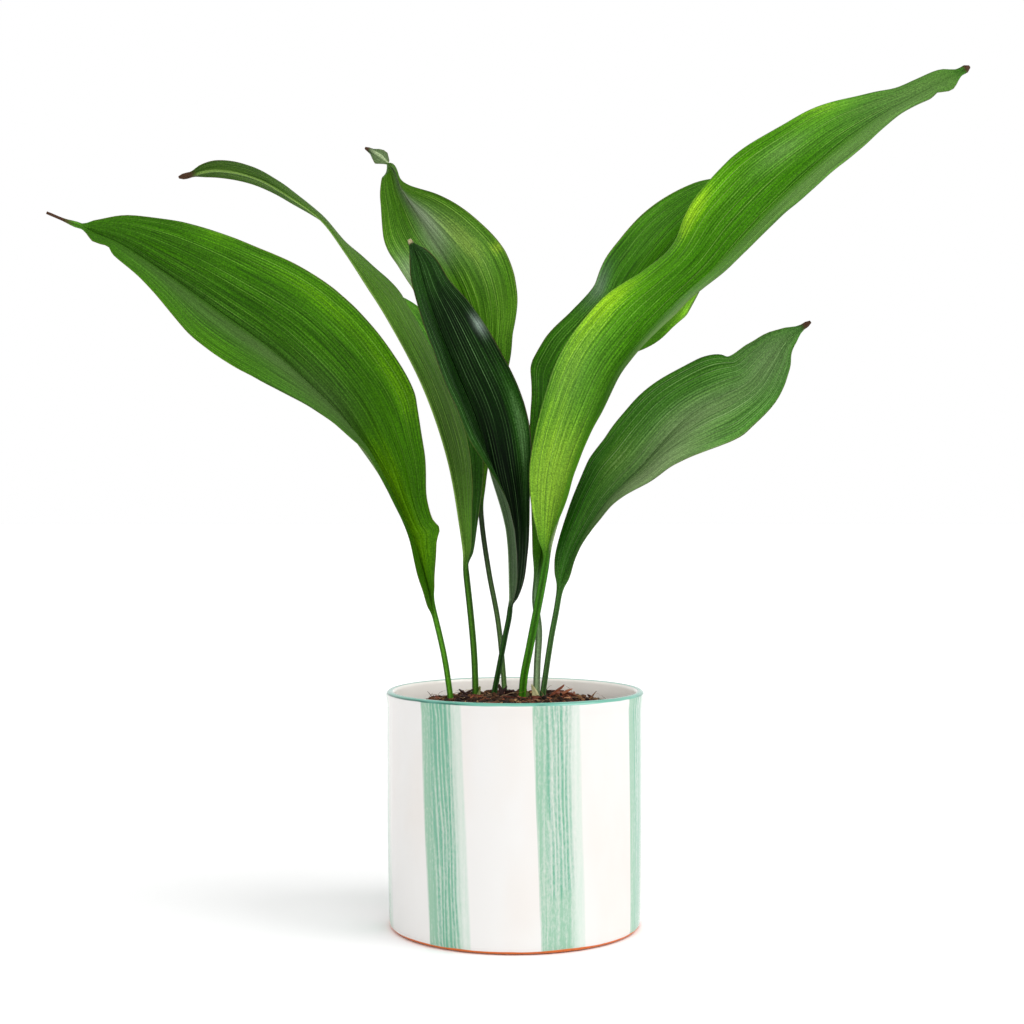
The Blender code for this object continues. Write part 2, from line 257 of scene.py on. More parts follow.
def stamped(name: str, prototypes: Sequence[Piece], places: Sequence[Matrix],
            tones: Sequence[float]) -> Piece:
    """Copy small prototypes to many places, as one piece, and remove the prototypes.

    Args:
        name: the new piece's name.
        prototypes: the shapes to copy, taken in turn.
        places: one matrix for each copy.
        tones: one number for each copy, kept for its colour.

    Returns:
        The piece that holds every copy.
    """
    shapes = [(points_of(p), [tuple(f.vertices) for f in p.data.polygons]) for p in prototypes]
    points, faces, shades, start = [], [], [], 0
    for number, place in enumerate(places):
        corners, rings = shapes[number % len(shapes)]
        matrix = np.array(place)
        points.append(corners @ matrix[:3, :3].T + matrix[:3, 3])
        faces += [tuple(start + i for i in ring) for ring in rings]
        shades.append(np.full(len(corners), tones[number]))
        start += len(corners)
    mesh = bpy.data.meshes.new(name)
    mesh.from_pydata(np.vstack(points).tolist(), [], faces)
    piece = bpy.data.objects.new(name, mesh)
    bpy.context.scene.collection.objects.link(piece)
    add_attribute(piece, TONE, np.concatenate(shades))
    for prototype in prototypes:
        bpy.data.objects.remove(prototype, do_unlink=True)
    return piece


def turned(name: str, outline: Sequence[tuple[float, float]], steps: int) -> Piece:
    """Spin an (r, z) outline in mm, which starts and ends on the axis, into a closed piece.

    Args:
        name: the new piece's name.
        outline: the points from the top middle to the bottom middle, or the other way.
        steps: how many faces go round.

    Returns:
        The piece, its poles closed and its faces outwards.
    """
    piece = begin(name, bpy.ops.mesh.primitive_circle_add, vertices=len(outline), radius=0.05,
                  fill_type="NOTHING")
    ends = {0, len(outline) - 1}
    bpy.ops.object.mode_set(mode="EDIT")
    bpy.ops.mesh.select_mode(type="EDGE")
    bpy.ops.mesh.select_all(action="DESELECT")
    bpy.ops.object.mode_set(mode="OBJECT")
    for edge in piece.data.edges:
        edge.select = set(edge.vertices) == ends
    bpy.ops.object.mode_set(mode="EDIT")
    bpy.ops.mesh.delete(type="EDGE")
    bpy.ops.mesh.select_mode(type="VERT")
    bpy.ops.object.mode_set(mode="OBJECT")
    place_points(piece, np.array([(r * MM, 0, z * MM) for r, z in outline]))
    in_edit(piece, (bpy.ops.mesh.spin, {"steps": steps, "angle": 2 * math.pi, "center": (0, 0, 0),
                                        "axis": (0, 0, 1)}),
            (bpy.ops.mesh.select_all, {"action": "SELECT"}),
            (bpy.ops.mesh.remove_doubles, {"threshold": 2e-6}),
            (bpy.ops.mesh.normals_make_consistent, {"inside": False}))
    return piece


# ---------------------------------------------------------------- leaf finish


@dataclass
class LeafPoint:
    """What the finish knows at each point of a leaf."""

    across: Socket  # -1 at the left margin to 1 at the right
    along: Socket  # mm from the foot
    off_rib: Socket  # mm off the middle vein
    tone: Socket  # from dark to bright: the tissue's own tone, with painted light and shade from the patches
    under: Socket  # 1 on the underside
    dry: Socket  # 1 where the tip has withered
    painted_sheen: Socket  # share of painted sheen, painted light glancing off the wax
    rim: Socket  # mm in from the margin
    blade: Socket  # 1 on the blade, 0 on the stalk
    streaks: Socket  # bands drawn out along the veins, about 0
    furrows: Socket  # fine furrows between the veins, about 0
    mottle: Socket  # the grain of the cells, about 0
    veins: Socket  # 1 on the stout veins
    fine: Socket  # 1 on the fine veins


@dataclass(frozen=True)
class LeafFinish:
    """Living leaf of Aspidistra: a waxy skin over green tissue, with raised parallel veins.

    The wax gives a soft satin light, from its gloss and from a painted sheen; the veins are pale hairlines
    that meet at both ends, painted shade darkens the groove over the middle vein and the furrows, and new
    growth is yellower than old. Colours are sRGB.
    """

    name: str
    tissue: tuple[str, str, str, str]  # the upper side, from the oldest and darkest to the youngest
    vein: str
    under: str  # the underside
    under_vein: str
    stalk: tuple[str, str]  # at its foot, and where it meets the blade
    margin: str = "#6B4A3A"
    margin_amount: float = 0.4
    painted_sheen: str = "#93A79B"  # the colour of the painted sheen: painted light reflected off the waxy skin
    tip: str = "#4A3426"  # where it has withered
    veins: int = 8  # stout veins in each half
    vein_amount: float = 0.5
    groove: float = 0.5  # how dark the painted shade in the groove over the middle vein is
    keel: float = 0.8  # how pale the middle vein is below
    streaks: float = 0.32  # how far the bands, the furrows and the cells change the tone; by the furrows it is painted shade
    furrows: float = 0.40
    mottle: float = 0.35
    speckle: float = 0.34  # the most that cells lighten or darken the colour, as a part of it
    furrow_shading: float = 0.4  # the same, for the painted shade in the furrows and the painted light on the ridges between them
    roughness: float = 0.40
    wax: float = 0.06  # how much of the skin's light is reflected, against 0.5 for bare gloss

    def build(self) -> bpy.types.Material:
        """Make the material.

        Returns:
            A node material that reads the leaf's own attributes.
        """
        made, shader, add = new_material(self.name)
        leaf = self.read(add)
        sides = {0: leaf.under, 6: self.upper_side(add, leaf), 7: self.under_side(add, leaf)}
        colour = add("Mix", sides, 2, data_type="RGBA")
        for step in (self.with_stalk, self.with_margin, self.with_grain):
            colour = step(add, leaf, colour)
        wire(shader, {"Base Color": colour, **self.skin(add, leaf)})
        return made

    def read(self, add: Add) -> LeafPoint:
        """Read the leaf's attributes, and draw its grain and veins.

        Args:
            add: adds a node to the material.

        Returns:
            All that the other methods need, with the grain already in the tone.
        """
        found = []
        for name in ("leaf_place", "leaf_tint", "leaf_mark"):
            numbers = add("Attribute", None, "Vector", attribute_name=name)
            found += add("SeparateXYZ", {0: numbers}).node.outputs
        leaf = LeafPoint(*found, *self.grain(add, *found[:2]), *self.vein_lines(add, *found[:2]))
        for grain, share in ((leaf.streaks, self.streaks), (leaf.furrows, self.furrows),
                             (leaf.mottle, self.mottle)):
            leaf.tone = add("Math", {0: grain, 1: share, 2: leaf.tone}, operation="MULTIPLY_ADD")
        return leaf

    def grain(self, add: Add, across: Socket, along: Socket) -> list[Socket]:
        """Draw the tissue's own unevenness, about 0.

        Args:
            add: adds a node to the material.
            across: the part across the leaf.
            along: mm along the leaf.

        Returns:
            Bands drawn out along the veins, fine furrows between the veins, and the grain of the cells.
            Cells are under 0.1 mm across and are drawn at 0.8 mm, so that they show.
        """
        place = add("CombineXYZ", {0: across, 1: along})
        found = []
        for counts, length, detail in ((0.9, 0.014, 3.0), (5.0, 0.02, 2.0)):
            drawn = add("Mapping", {"Vector": place, "Scale": (self.veins * counts, length, 1)})
            found.append(add("TexNoise", {"Vector": drawn, "Scale": 1.0, "Detail": detail,
                                          "Roughness": 0.6}))
        found.append(add("TexNoise", {"Vector": add("TexCoord", None, "Object"),
                                      "Scale": 1 / (0.8 * MM), "Detail": 2.0, "Roughness": 0.7}))
        return [add("Math", {0: noisy, 1: 0.5}, operation="SUBTRACT") for noisy in found]

    def vein_lines(self, add: Add, across: Socket, along: Socket) -> list[Socket]:
        """Draw the parallel veins, which meet at both ends of the blade.

        Args:
            add: adds a node to the material.
            across: the part across the leaf.
            along: mm along the leaf.

        Returns:
            Stout veins, 4 to 5 mm apart at the widest, and two finer ones between each two.
        """
        place = add("CombineXYZ", {0: across, 1: along})
        drawn = add("Mapping", {"Vector": place, "Scale": (2.0, 0.012, 1)})
        drift = add("TexNoise", {"Vector": drawn, "Scale": 1.0})
        bent = add("Math", {0: drift, 1: 0.05, 2: across}, operation="MULTIPLY_ADD")
        drawn = add("Mapping", {"Vector": place, "Scale": (self.veins * 1.1, 0.02, 1)})
        strength = add("TexNoise", {"Vector": drawn, "Scale": 1.0, "Detail": 1.0})
        strength = add("MapRange", {0: strength, 1: 0.34, 2: 0.62})
        lines = []
        for count, sharp in ((self.veins, 0.92), (self.veins * 3, 0.60)):
            wave = add("Math", {0: bent, 1: 2 * math.pi * count}, operation="MULTIPLY")
            wave = add("Math", {0: wave}, operation="COSINE")
            line = add("MapRange", {0: wave, 1: sharp, 2: 1.0}, interpolation_type="SMOOTHSTEP")
            lines.append(add("Math", {0: line, 1: strength}, operation="MULTIPLY"))
        return lines

    def rib_line(self, add: Add, leaf: LeafPoint, near: float, far: float) -> Socket:
        """Draw a soft line along the middle vein.

        Args:
            add: adds a node to the material.
            leaf: the point on the leaf.
            near: mm off the vein where the line starts to fade.
            far: mm off the vein where it ends.

        Returns:
            1 on the vein and 0 off it.
        """
        away = add("Math", {0: leaf.off_rib}, operation="ABSOLUTE")
        return add("MapRange", {0: away, 1: near, 2: far, 3: 1.0, 4: 0.0}, interpolation_type="SMOOTHSTEP")

    def lined(self, add: Add, colour: Socket, lines: Sequence[tuple[Socket, float, str]]) -> Socket:
        """Lay lines over a colour.

        Args:
            add: adds a node to the material.
            colour: the colour below.
            lines: each line's mask, its amount and its colour.

        Returns:
            The lined colour.
        """
        for line, amount, code in lines:
            share = add("Math", {0: line, 1: amount}, operation="MULTIPLY")
            colour = add("Mix", {0: share, 6: colour, 7: linear(code)}, 2, data_type="RGBA")
        return colour

    def upper_side(self, add: Add, leaf: LeafPoint) -> Socket:
        """Colour the upper side: tissue, veins, painted shade in the middle vein's groove, and painted sheen.

        Args:
            add: adds a node to the material.
            leaf: the point on the leaf.

        Returns:
            The colour.
        """
        tissue = add("ValToRGB", {0: leaf.tone})
        set_stops(tissue, list(zip((0.0, 0.35, 0.68, 1.0), self.tissue)))
        # the veins, then painted shade in the groove over the middle vein, in the darkest tissue colour
        colour = self.lined(add, tissue, (
            (leaf.veins, self.vein_amount, self.vein), (leaf.fine, self.vein_amount * 0.5, self.vein),
            (self.rib_line(add, leaf, 0.2, 0.9), self.groove, self.tissue[0])))
        # painted sheen: a grey-green painted over the colour where light would glance off the wax
        return add("Mix", {0: leaf.painted_sheen, 6: colour, 7: linear(self.painted_sheen)}, 2, data_type="RGBA")

    def under_side(self, add: Add, leaf: LeafPoint) -> Socket:
        """Colour the underside: paler and greyer, with its veins standing proud.

        Args:
            add: adds a node to the material.
            leaf: the point on the leaf.

        Returns:
            The colour.
        """
        shade = add("MapRange", {0: leaf.tone, 1: 0.15, 2: 0.95})
        dark = (*(c * 0.45 for c in linear(self.under)[:3]), 1.0)
        colour = add("Mix", {0: shade, 6: dark, 7: linear(self.under)}, 2, data_type="RGBA")
        return self.lined(add, colour, (
            (leaf.veins, 0.6, self.under_vein), (leaf.fine, 0.4, self.under_vein),
            (self.rib_line(add, leaf, 0.6, 1.8), self.keel, self.under_vein)))

    def with_stalk(self, add: Add, leaf: LeafPoint, blade: Socket) -> Socket:
        """Run the blade's colour down into the ribbed stalk's over its 110 mm.

        Args:
            add: adds a node to the material.
            leaf: the point on the leaf.
            blade: the blade's colour.

        Returns:
            The colour of blade and stalk.
        """
        rise = add("MapRange", {0: leaf.along, 1: 14.0, 2: 110.0})
        rise = add("Math", {0: leaf.streaks, 1: 0.8, 2: rise}, operation="MULTIPLY_ADD")
        low, high = (linear(code) for code in self.stalk)
        colour = add("Mix", {0: rise, 6: low, 7: high}, 2, data_type="RGBA")
        ribs = add("Math", {0: leaf.across, 1: 6.0}, operation="MULTIPLY")
        ribs = add("Math", {0: ribs}, operation="COSINE")
        ribs = add("MapRange", {0: ribs, 1: -1.0, 2: 1.0, 3: 0.55, 4: 1.35})
        colour = add("Mix", {0: 1.0, 6: colour, 7: ribs}, 2, data_type="RGBA", blend_type="MULTIPLY")
        return add("Mix", {0: leaf.blade, 6: colour, 7: blade}, 2, data_type="RGBA")

    def with_margin(self, add: Add, leaf: LeafPoint, green: Socket) -> Socket:
        """Add the dry margin, a line about 0.5 mm wide that comes and goes, and the withered tip.

        Args:
            add: adds a node to the material.
            leaf: the point on the leaf.
            green: the living colour.

        Returns:
            The worn colour.
        """
        line = add("MapRange", {0: leaf.rim, 1: 0.25, 2: 0.8, 3: self.margin_amount, 4: 0.0},
                   interpolation_type="SMOOTHSTEP")
        worn = add("MapRange", {0: leaf.streaks, 1: -0.25, 2: 0.05})
        share = add("Math", {0: line, 1: worn}, operation="MULTIPLY")
        colour = add("Mix", {0: share, 6: green, 7: linear(self.margin)}, 2, data_type="RGBA")
        ragged = add("Math", {0: leaf.mottle, 1: 0.4, 2: leaf.dry}, operation="MULTIPLY_ADD")
        ragged = add("MapRange", {0: ragged, 1: 0.3, 2: 0.75}, interpolation_type="SMOOTHSTEP")
        return add("Mix", {0: ragged, 6: colour, 7: linear(self.tip)}, 2, data_type="RGBA")

    def with_grain(self, add: Add, leaf: LeafPoint, colour: Socket) -> Socket:
        """Speckle the colour by the cells, and paint shade into the furrows and light onto the ridges between
        them.

        Args:
            add: adds a node to the material.
            leaf: the point on the leaf.
            colour: the smooth colour.

        Returns:
            The grained colour.
        """
        cells, lines = (add("MapRange", {0: grain, 1: -0.2, 2: 0.2, 3: 1 - most, 4: 1 + most})
                        for grain, most in ((leaf.mottle, self.speckle), (leaf.furrows, self.furrow_shading)))
        shade = add("Math", {0: cells, 1: lines}, operation="MULTIPLY")
        return add("Mix", {0: 1.0, 6: colour, 7: shade}, 2, data_type="RGBA", blend_type="MULTIPLY")

    def skin(self, add: Add, leaf: LeafPoint) -> dict[str, float | Socket]:
        """Draw the wax's gloss and the relief of veins and cells.

        Args:
            add: adds a node to the material.
            leaf: the point on the leaf.

        Returns:
            What goes into the shader beside the colour.
        """
        rough = add("MapRange", {0: leaf.under, 3: self.roughness, 4: self.roughness + 0.14})
        for grain, share in ((leaf.streaks, 0.16), (leaf.mottle, 0.12)):
            rough = add("Math", {0: grain, 1: share, 2: rough}, operation="MULTIPLY_ADD")
        height = leaf.veins
        for grain, share in ((leaf.furrows, 1.2), (leaf.streaks, 1.6), (leaf.mottle, 0.5)):
            height = add("Math", {0: grain, 1: share, 2: height}, operation="MULTIPLY_ADD")
        bump = add("Bump", {"Strength": 0.6, "Distance": 0.22 * MM, "Height": height})
        return {"Roughness": rough, "IOR": 1.43, "Specular IOR Level": self.wax, "Normal": bump}


# ---------------------------------------------------------------- leaves

# the points across each half of a leaf, closer at the middle vein and the margin
HALF_PARTS = (0.0, 0.012, 0.03, 0.06, *np.linspace(0.1, 0.9, 21).round(4), 0.94, 0.97, 0.988, 1.0)


class Side(Enum):
    """One half of a leaf, seen with its tip up and its upper side towards the eye."""

    LEFT = -1
    RIGHT = 1


@dataclass(frozen=True)
class EdgeChange:
    """A place where a margin leaves the leaf's smooth outline."""

    side: Side
    at: float  # share of the leaf's length from its foot
    reach: float  # the same share, to either side
    width: float  # mm added to the half width, or taken off
    lift: float = 0.0  # mm that the margin rises above the blade


@dataclass(frozen=True)
class Patch:
    """A soft-edged place where a leaf's colour differs from the rest: in some its own tone, in others painted
    light, shade and sheen.
    """

    across: float  # -1 at the left margin to 1 at the right
    at: float  # share of the leaf's length from its foot
    spread_across: float
    spread_along: float
    tone: float  # brighter and yellower, or darker where it is negative; in some patches the tissue's own tone, in others painted light and shade
    painted_sheen: float = 0.0  # share of painted sheen over the green: painted light reflected off the wax


@dataclass
class Leaf:
    """One leaf, from its foot in the mix to the tip, as a single closed skin."""

    node: str
    finish: LeafFinish
    seed: int
    edges: tuple[EdgeChange, ...] = ()
    patches: tuple[Patch, ...] = ()
    tone: float = 0.5
    wave: float = 0.3  # mm that the margins undulate
    wave_length: float = 52.0  # mm
    dry_from: float = 0.975  # share of the length where the tip starts to brown
    keel: float = 1.0  # mm that the middle vein stands out below
    spacing: float = 2.5  # mm between rows
    thickness: float = 0.5  # mm
    flattening: float = 30.0  # degrees by which each half is flatter at its margin than at the vein
    pleat: float = 0.16  # mm, of the furrows between stout veins

    def rows(self) -> np.ndarray:
        """Read the stations along a centripetal Catmull-Rom curve.

        Returns:
            Rows like the stations, `spacing` apart.
        """
        given = np.array(STATIONS[self.node], dtype=float)
        padded = np.vstack([2 * given[0] - given[1], given, 2 * given[-1] - given[-2]])
        read = []
        for p0, p1, p2, p3 in zip(padded, padded[1:], padded[2:], padded[3:]):
            spans = [max(np.linalg.norm((b - a)[:3]), 1e-6) ** 0.5
                     for a, b in ((p0, p1), (p1, p2), (p2, p3))]
            t1, t2, t3 = np.cumsum(spans)
            count = max(2, round(np.linalg.norm((p2 - p1)[:3]) / self.spacing))
            t = np.linspace(t1, t2, count, endpoint=False)[:, None]
            a1 = p0 + (p1 - p0) * t / t1
            a2 = p1 + (p2 - p1) * (t - t1) / (t2 - t1)
            a3 = p2 + (p3 - p2) * (t - t2) / (t3 - t2)
            b1 = a1 + (a2 - a1) * t / t2
            b2 = a2 + (a3 - a2) * (t - t1) / (t3 - t1)
            reading = b1 + (b2 - b1) * (t - t1) / (t2 - t1)
            reading[:, 3] = reading[:, 3].clip(min(p1[3], p2[3]), max(p1[3], p2[3]))
            read.append(reading)
        return np.vstack([*read, given[-1:]])

    def axes(self, rows: np.ndarray, lengths: np.ndarray) -> tuple[np.ndarray, np.ndarray]:
        """Find the way across each row and the way up from its upper side.

        Args:
            rows: the leaf's rows.
            lengths: how far along the leaf each row is, in mm.

        Returns:
            Unit vectors to the right half and out of the upper side.
        """
        along = np.gradient(rows[:, :3], lengths, axis=0)
        along /= np.linalg.norm(along, axis=1)[:, None]
        right = np.cross(along, (0.0, -1.0, 0.0))
        right /= np.linalg.norm(right, axis=1)[:, None]
        front = np.cross(right, along)
        roll = np.radians(rows[:, 4])[:, None]
        up = np.cos(roll) * front + np.sin(roll) * right
        return np.cross(along, up), up

    def waves(self, lengths: np.ndarray, sign: int) -> np.ndarray:
        """Let one margin undulate.

        Args:
            lengths: how far along the leaf each row is, in mm.
            sign: -1 for the left margin or 1 for the right.

        Returns:
            How far up the margin moves at each row, in mm.
        """
        random = np.random.default_rng(self.seed * 10 + sign)
        total = np.zeros_like(lengths)
        for divisor, amount in ((1.0, 0.6), (1.7, 0.35), (3.1, 0.16)):
            turn = 2 * math.pi * lengths / (self.wave_length / divisor)
            total += amount * np.sin(turn + random.uniform(0, 2 * math.pi))
        return self.wave * total

    def ring(self) -> tuple[np.ndarray, np.ndarray]:
        """Lay out the points round a row.

        Returns:
            Their part across, and 1 for the upper side or 0 for the underside.
        """
        half = np.array(HALF_PARTS)
        upper = np.concatenate([-half[:0:-1], half])
        lower = upper[-2:0:-1]
        return np.concatenate([upper, lower]), np.concatenate([np.ones(len(upper)), np.zeros(len(lower))])

    def widths(self, rows: np.ndarray, share: np.ndarray, parts: np.ndarray) -> tuple[np.ndarray, np.ndarray]:
        """Widen or narrow the leaf where a margin is torn.

        Args:
            rows: the leaf's rows.
            share: how far along the leaf each row is, from 0 to 1.
            parts: the ring's parts across.

        Returns:
            Each point's half width, and how far its margin's tears lift it, in mm.
        """
        sign = np.where(parts >= 0, 1, -1)[None, :]
        reach = np.abs(parts)[None, :]
        widths = np.repeat(np.maximum(rows[:, 3], 0.3)[:, None], len(parts), axis=1)
        lift = np.zeros_like(widths)
        for change in self.edges:
            near = np.exp(-((share - change.at) / change.reach) ** 2)[:, None]
            here = sign == change.side.value
            widths = widths + np.where(here, near * change.width, 0)
            lift = lift + np.where(here, near * change.lift * reach ** 2, 0)
        return np.maximum(widths, 0.25), lift

    def blade(self, rows: np.ndarray, lengths: np.ndarray, parts: np.ndarray, upper: np.ndarray,
              widths: np.ndarray, lift: np.ndarray) -> tuple[np.ndarray, np.ndarray]:
        """Fold the blade.

        Args:
            rows: the leaf's rows.
            lengths: how far along each is, in mm.
            parts: the ring's parts across.
            upper: 1 for the ring's points on the upper side.
            widths: each point's half width, in mm.
            lift: how far each point is lifted at a torn place, in mm.

        Returns:
            How far right and how far up each point lies in its row's plane, in mm.
        """
        share = lengths / lengths[-1]
        sign = np.where(parts >= 0, 1, -1)[None, :]
        reach = np.abs(parts)[None, :]
        fold = np.radians(rows[:, 5])[:, None]
        bend = -math.radians(self.flattening)
        near = fold - bend / 2
        far = near + bend * reach
        across = widths * sign * (np.sin(far) - np.sin(near)) / bend
        rise = widths * (np.cos(near) - np.cos(far)) / bend
        broad = smoothstep(5, 16, rows[:, 3:4])
        for value in (-1, 1):
            moved = self.waves(lengths, value)[:, None] * broad * np.where(sign == value, reach ** 2.2, 0)
            lift = lift + moved
        lift = lift - broad * self.pleat * (1 - np.cos(2 * math.pi * reach * 5)) * smoothstep(1, 0.8, reach)
        depth = self.thickness / 2 * np.sqrt(1 - parts ** 2)[None, :] + 0.02
        offset = np.where(upper[None, :] > 0, depth, -depth) + lift
        away = reach * widths
        keel = self.keel * (1 - 0.75 * share)[:, None] * np.exp(-(away / 1.25) ** 2)
        crease = 0.28 * np.exp(-(away / 0.8) ** 2)
        offset = offset - np.where(upper[None, :] > 0, crease, keel)
        lean = np.where(reach > 0.02, sign * np.sin(far), 0)
        return across - offset * lean, rise + offset * np.cos(far)

    def stalk(self, thin: np.ndarray, parts: np.ndarray, upper: np.ndarray) -> tuple[np.ndarray, np.ndarray]:
        """Round the stalk, with the shallow groove that runs down its upper side.

        Args:
            thin: each row's radius, in mm.
            parts: the ring's parts across.
            upper: 1 for the ring's points on the upper side.

        Returns:
            How far right and how far up each point lies in its row's plane, in mm.
        """
        angle = math.pi / 2 * (1 - parts) * np.where(upper > 0, 1, -1)
        groove = 1 - 0.30 * np.exp(-(((angle - math.pi / 2) / 0.42) ** 2))
        radius = thin[:, None] * groove[None, :]
        return radius * np.cos(angle), radius * np.sin(angle)

    def surface(self) -> tuple[np.ndarray, dict[str, np.ndarray]]:
        """Place every point of the leaf's skin.

        Returns:
            Places in metres, by row and ring point, and the attributes that the finish reads.
        """
        rows = self.rows()
        lengths = np.concatenate([[0], np.cumsum(np.linalg.norm(np.diff(rows[:, :3], axis=0), axis=1))])
        side, up = self.axes(rows, lengths)
        parts, upper = self.ring()
        widths, lift = self.widths(rows, lengths / lengths[-1], parts)
        right, rise = self.blade(rows, lengths, parts, upper, widths, lift)
        thin = np.clip(rows[:, 3], 0.3, rows[0, 3])
        round_right, round_rise = self.stalk(thin, parts, upper)
        share = smoothstep(0, 1, (widths - thin[:, None]) / (2.5 * thin[:, None]))
        x = round_right + (right - round_right) * share
        y = round_rise + (rise - round_rise) * share
        places = rows[:, None, :3] + x[:, :, None] * side[:, None, :] + y[:, :, None] * up[:, None, :]
        return places * MM, self.attributes(lengths, parts, upper, widths, share)

    def attributes(self, lengths: np.ndarray, parts: np.ndarray, upper: np.ndarray, widths: np.ndarray,
                   share: np.ndarray) -> dict[str, np.ndarray]:
        """Work out what the finish reads at each point.

        Args:
            lengths: how far along the leaf each row is, in mm.
            parts: the ring's parts across.
            upper: 1 for the ring's points on the upper side.
            widths: each point's half width, in mm.
            share: 1 where a point is on the blade and 0 where it is on the stalk.

        Returns:
            By name, what LeafPoint lists up to its blade.
        """
        shape = widths.shape
        across = np.broadcast_to(parts[None, :], shape)
        along = np.broadcast_to(lengths[:, None], shape)
        portion = along / lengths[-1]
        tone = np.full(shape, self.tone)
        painted_sheen = np.zeros(shape)
        for patch in self.patches:
            near = ((across - patch.across) / patch.spread_across) ** 2
            near = near + ((portion - patch.at) / patch.spread_along) ** 2
            tone = tone + patch.tone * np.exp(-near)
            painted_sheen = painted_sheen + patch.painted_sheen * np.exp(-near)
        rim = (1 - np.abs(across)) * widths + 3 * (1 - share)
        under = np.broadcast_to((1 - upper)[None, :], shape)
        dry = smoothstep(self.dry_from, 1.0, portion)
        return {
            "leaf_place": np.stack([across, along, across * widths], axis=-1),
            "leaf_tint": np.stack([tone, under, dry], axis=-1),
            "leaf_mark": np.stack([painted_sheen, rim, share], axis=-1),
        }

    def build(self) -> None:
        """Model the leaf in place of the frame's node, and dress it."""
        places, attributes = self.surface()
        count, around = places.shape[:2]
        piece = begin(self.node + "_skin", bpy.ops.mesh.primitive_grid_add, x_subdivisions=around,
                      y_subdivisions=count - 1, size=1)
        wrap = np.concatenate([np.arange(around), [0]])
        place_points(piece, places[:, wrap].reshape(-1, 3))
        for name, values in attributes.items():
            rolled = values[:, wrap]
            add_attribute(piece, name, rolled.reshape(-1, 3) if values.ndim == 3 else rolled.ravel())
        in_edit(piece, (bpy.ops.mesh.remove_doubles, {"threshold": 1e-7}),
                (bpy.ops.mesh.fill_holes, {"sides": 0}),
                (bpy.ops.mesh.normals_make_consistent, {"inside": False}))
        fit_in(piece, self.finish.build(), "leaf", self.node, smooth=60.0)


# ---------------------------------------------------------------- pot


@dataclass
class PotPoint:
    """Where a point lies on the pot."""

    place: Socket  # Object coordinates
    level: Socket  # mm above the base
    radius: Socket  # m off the axis
    turn: Socket  # degrees round from the front, to the right


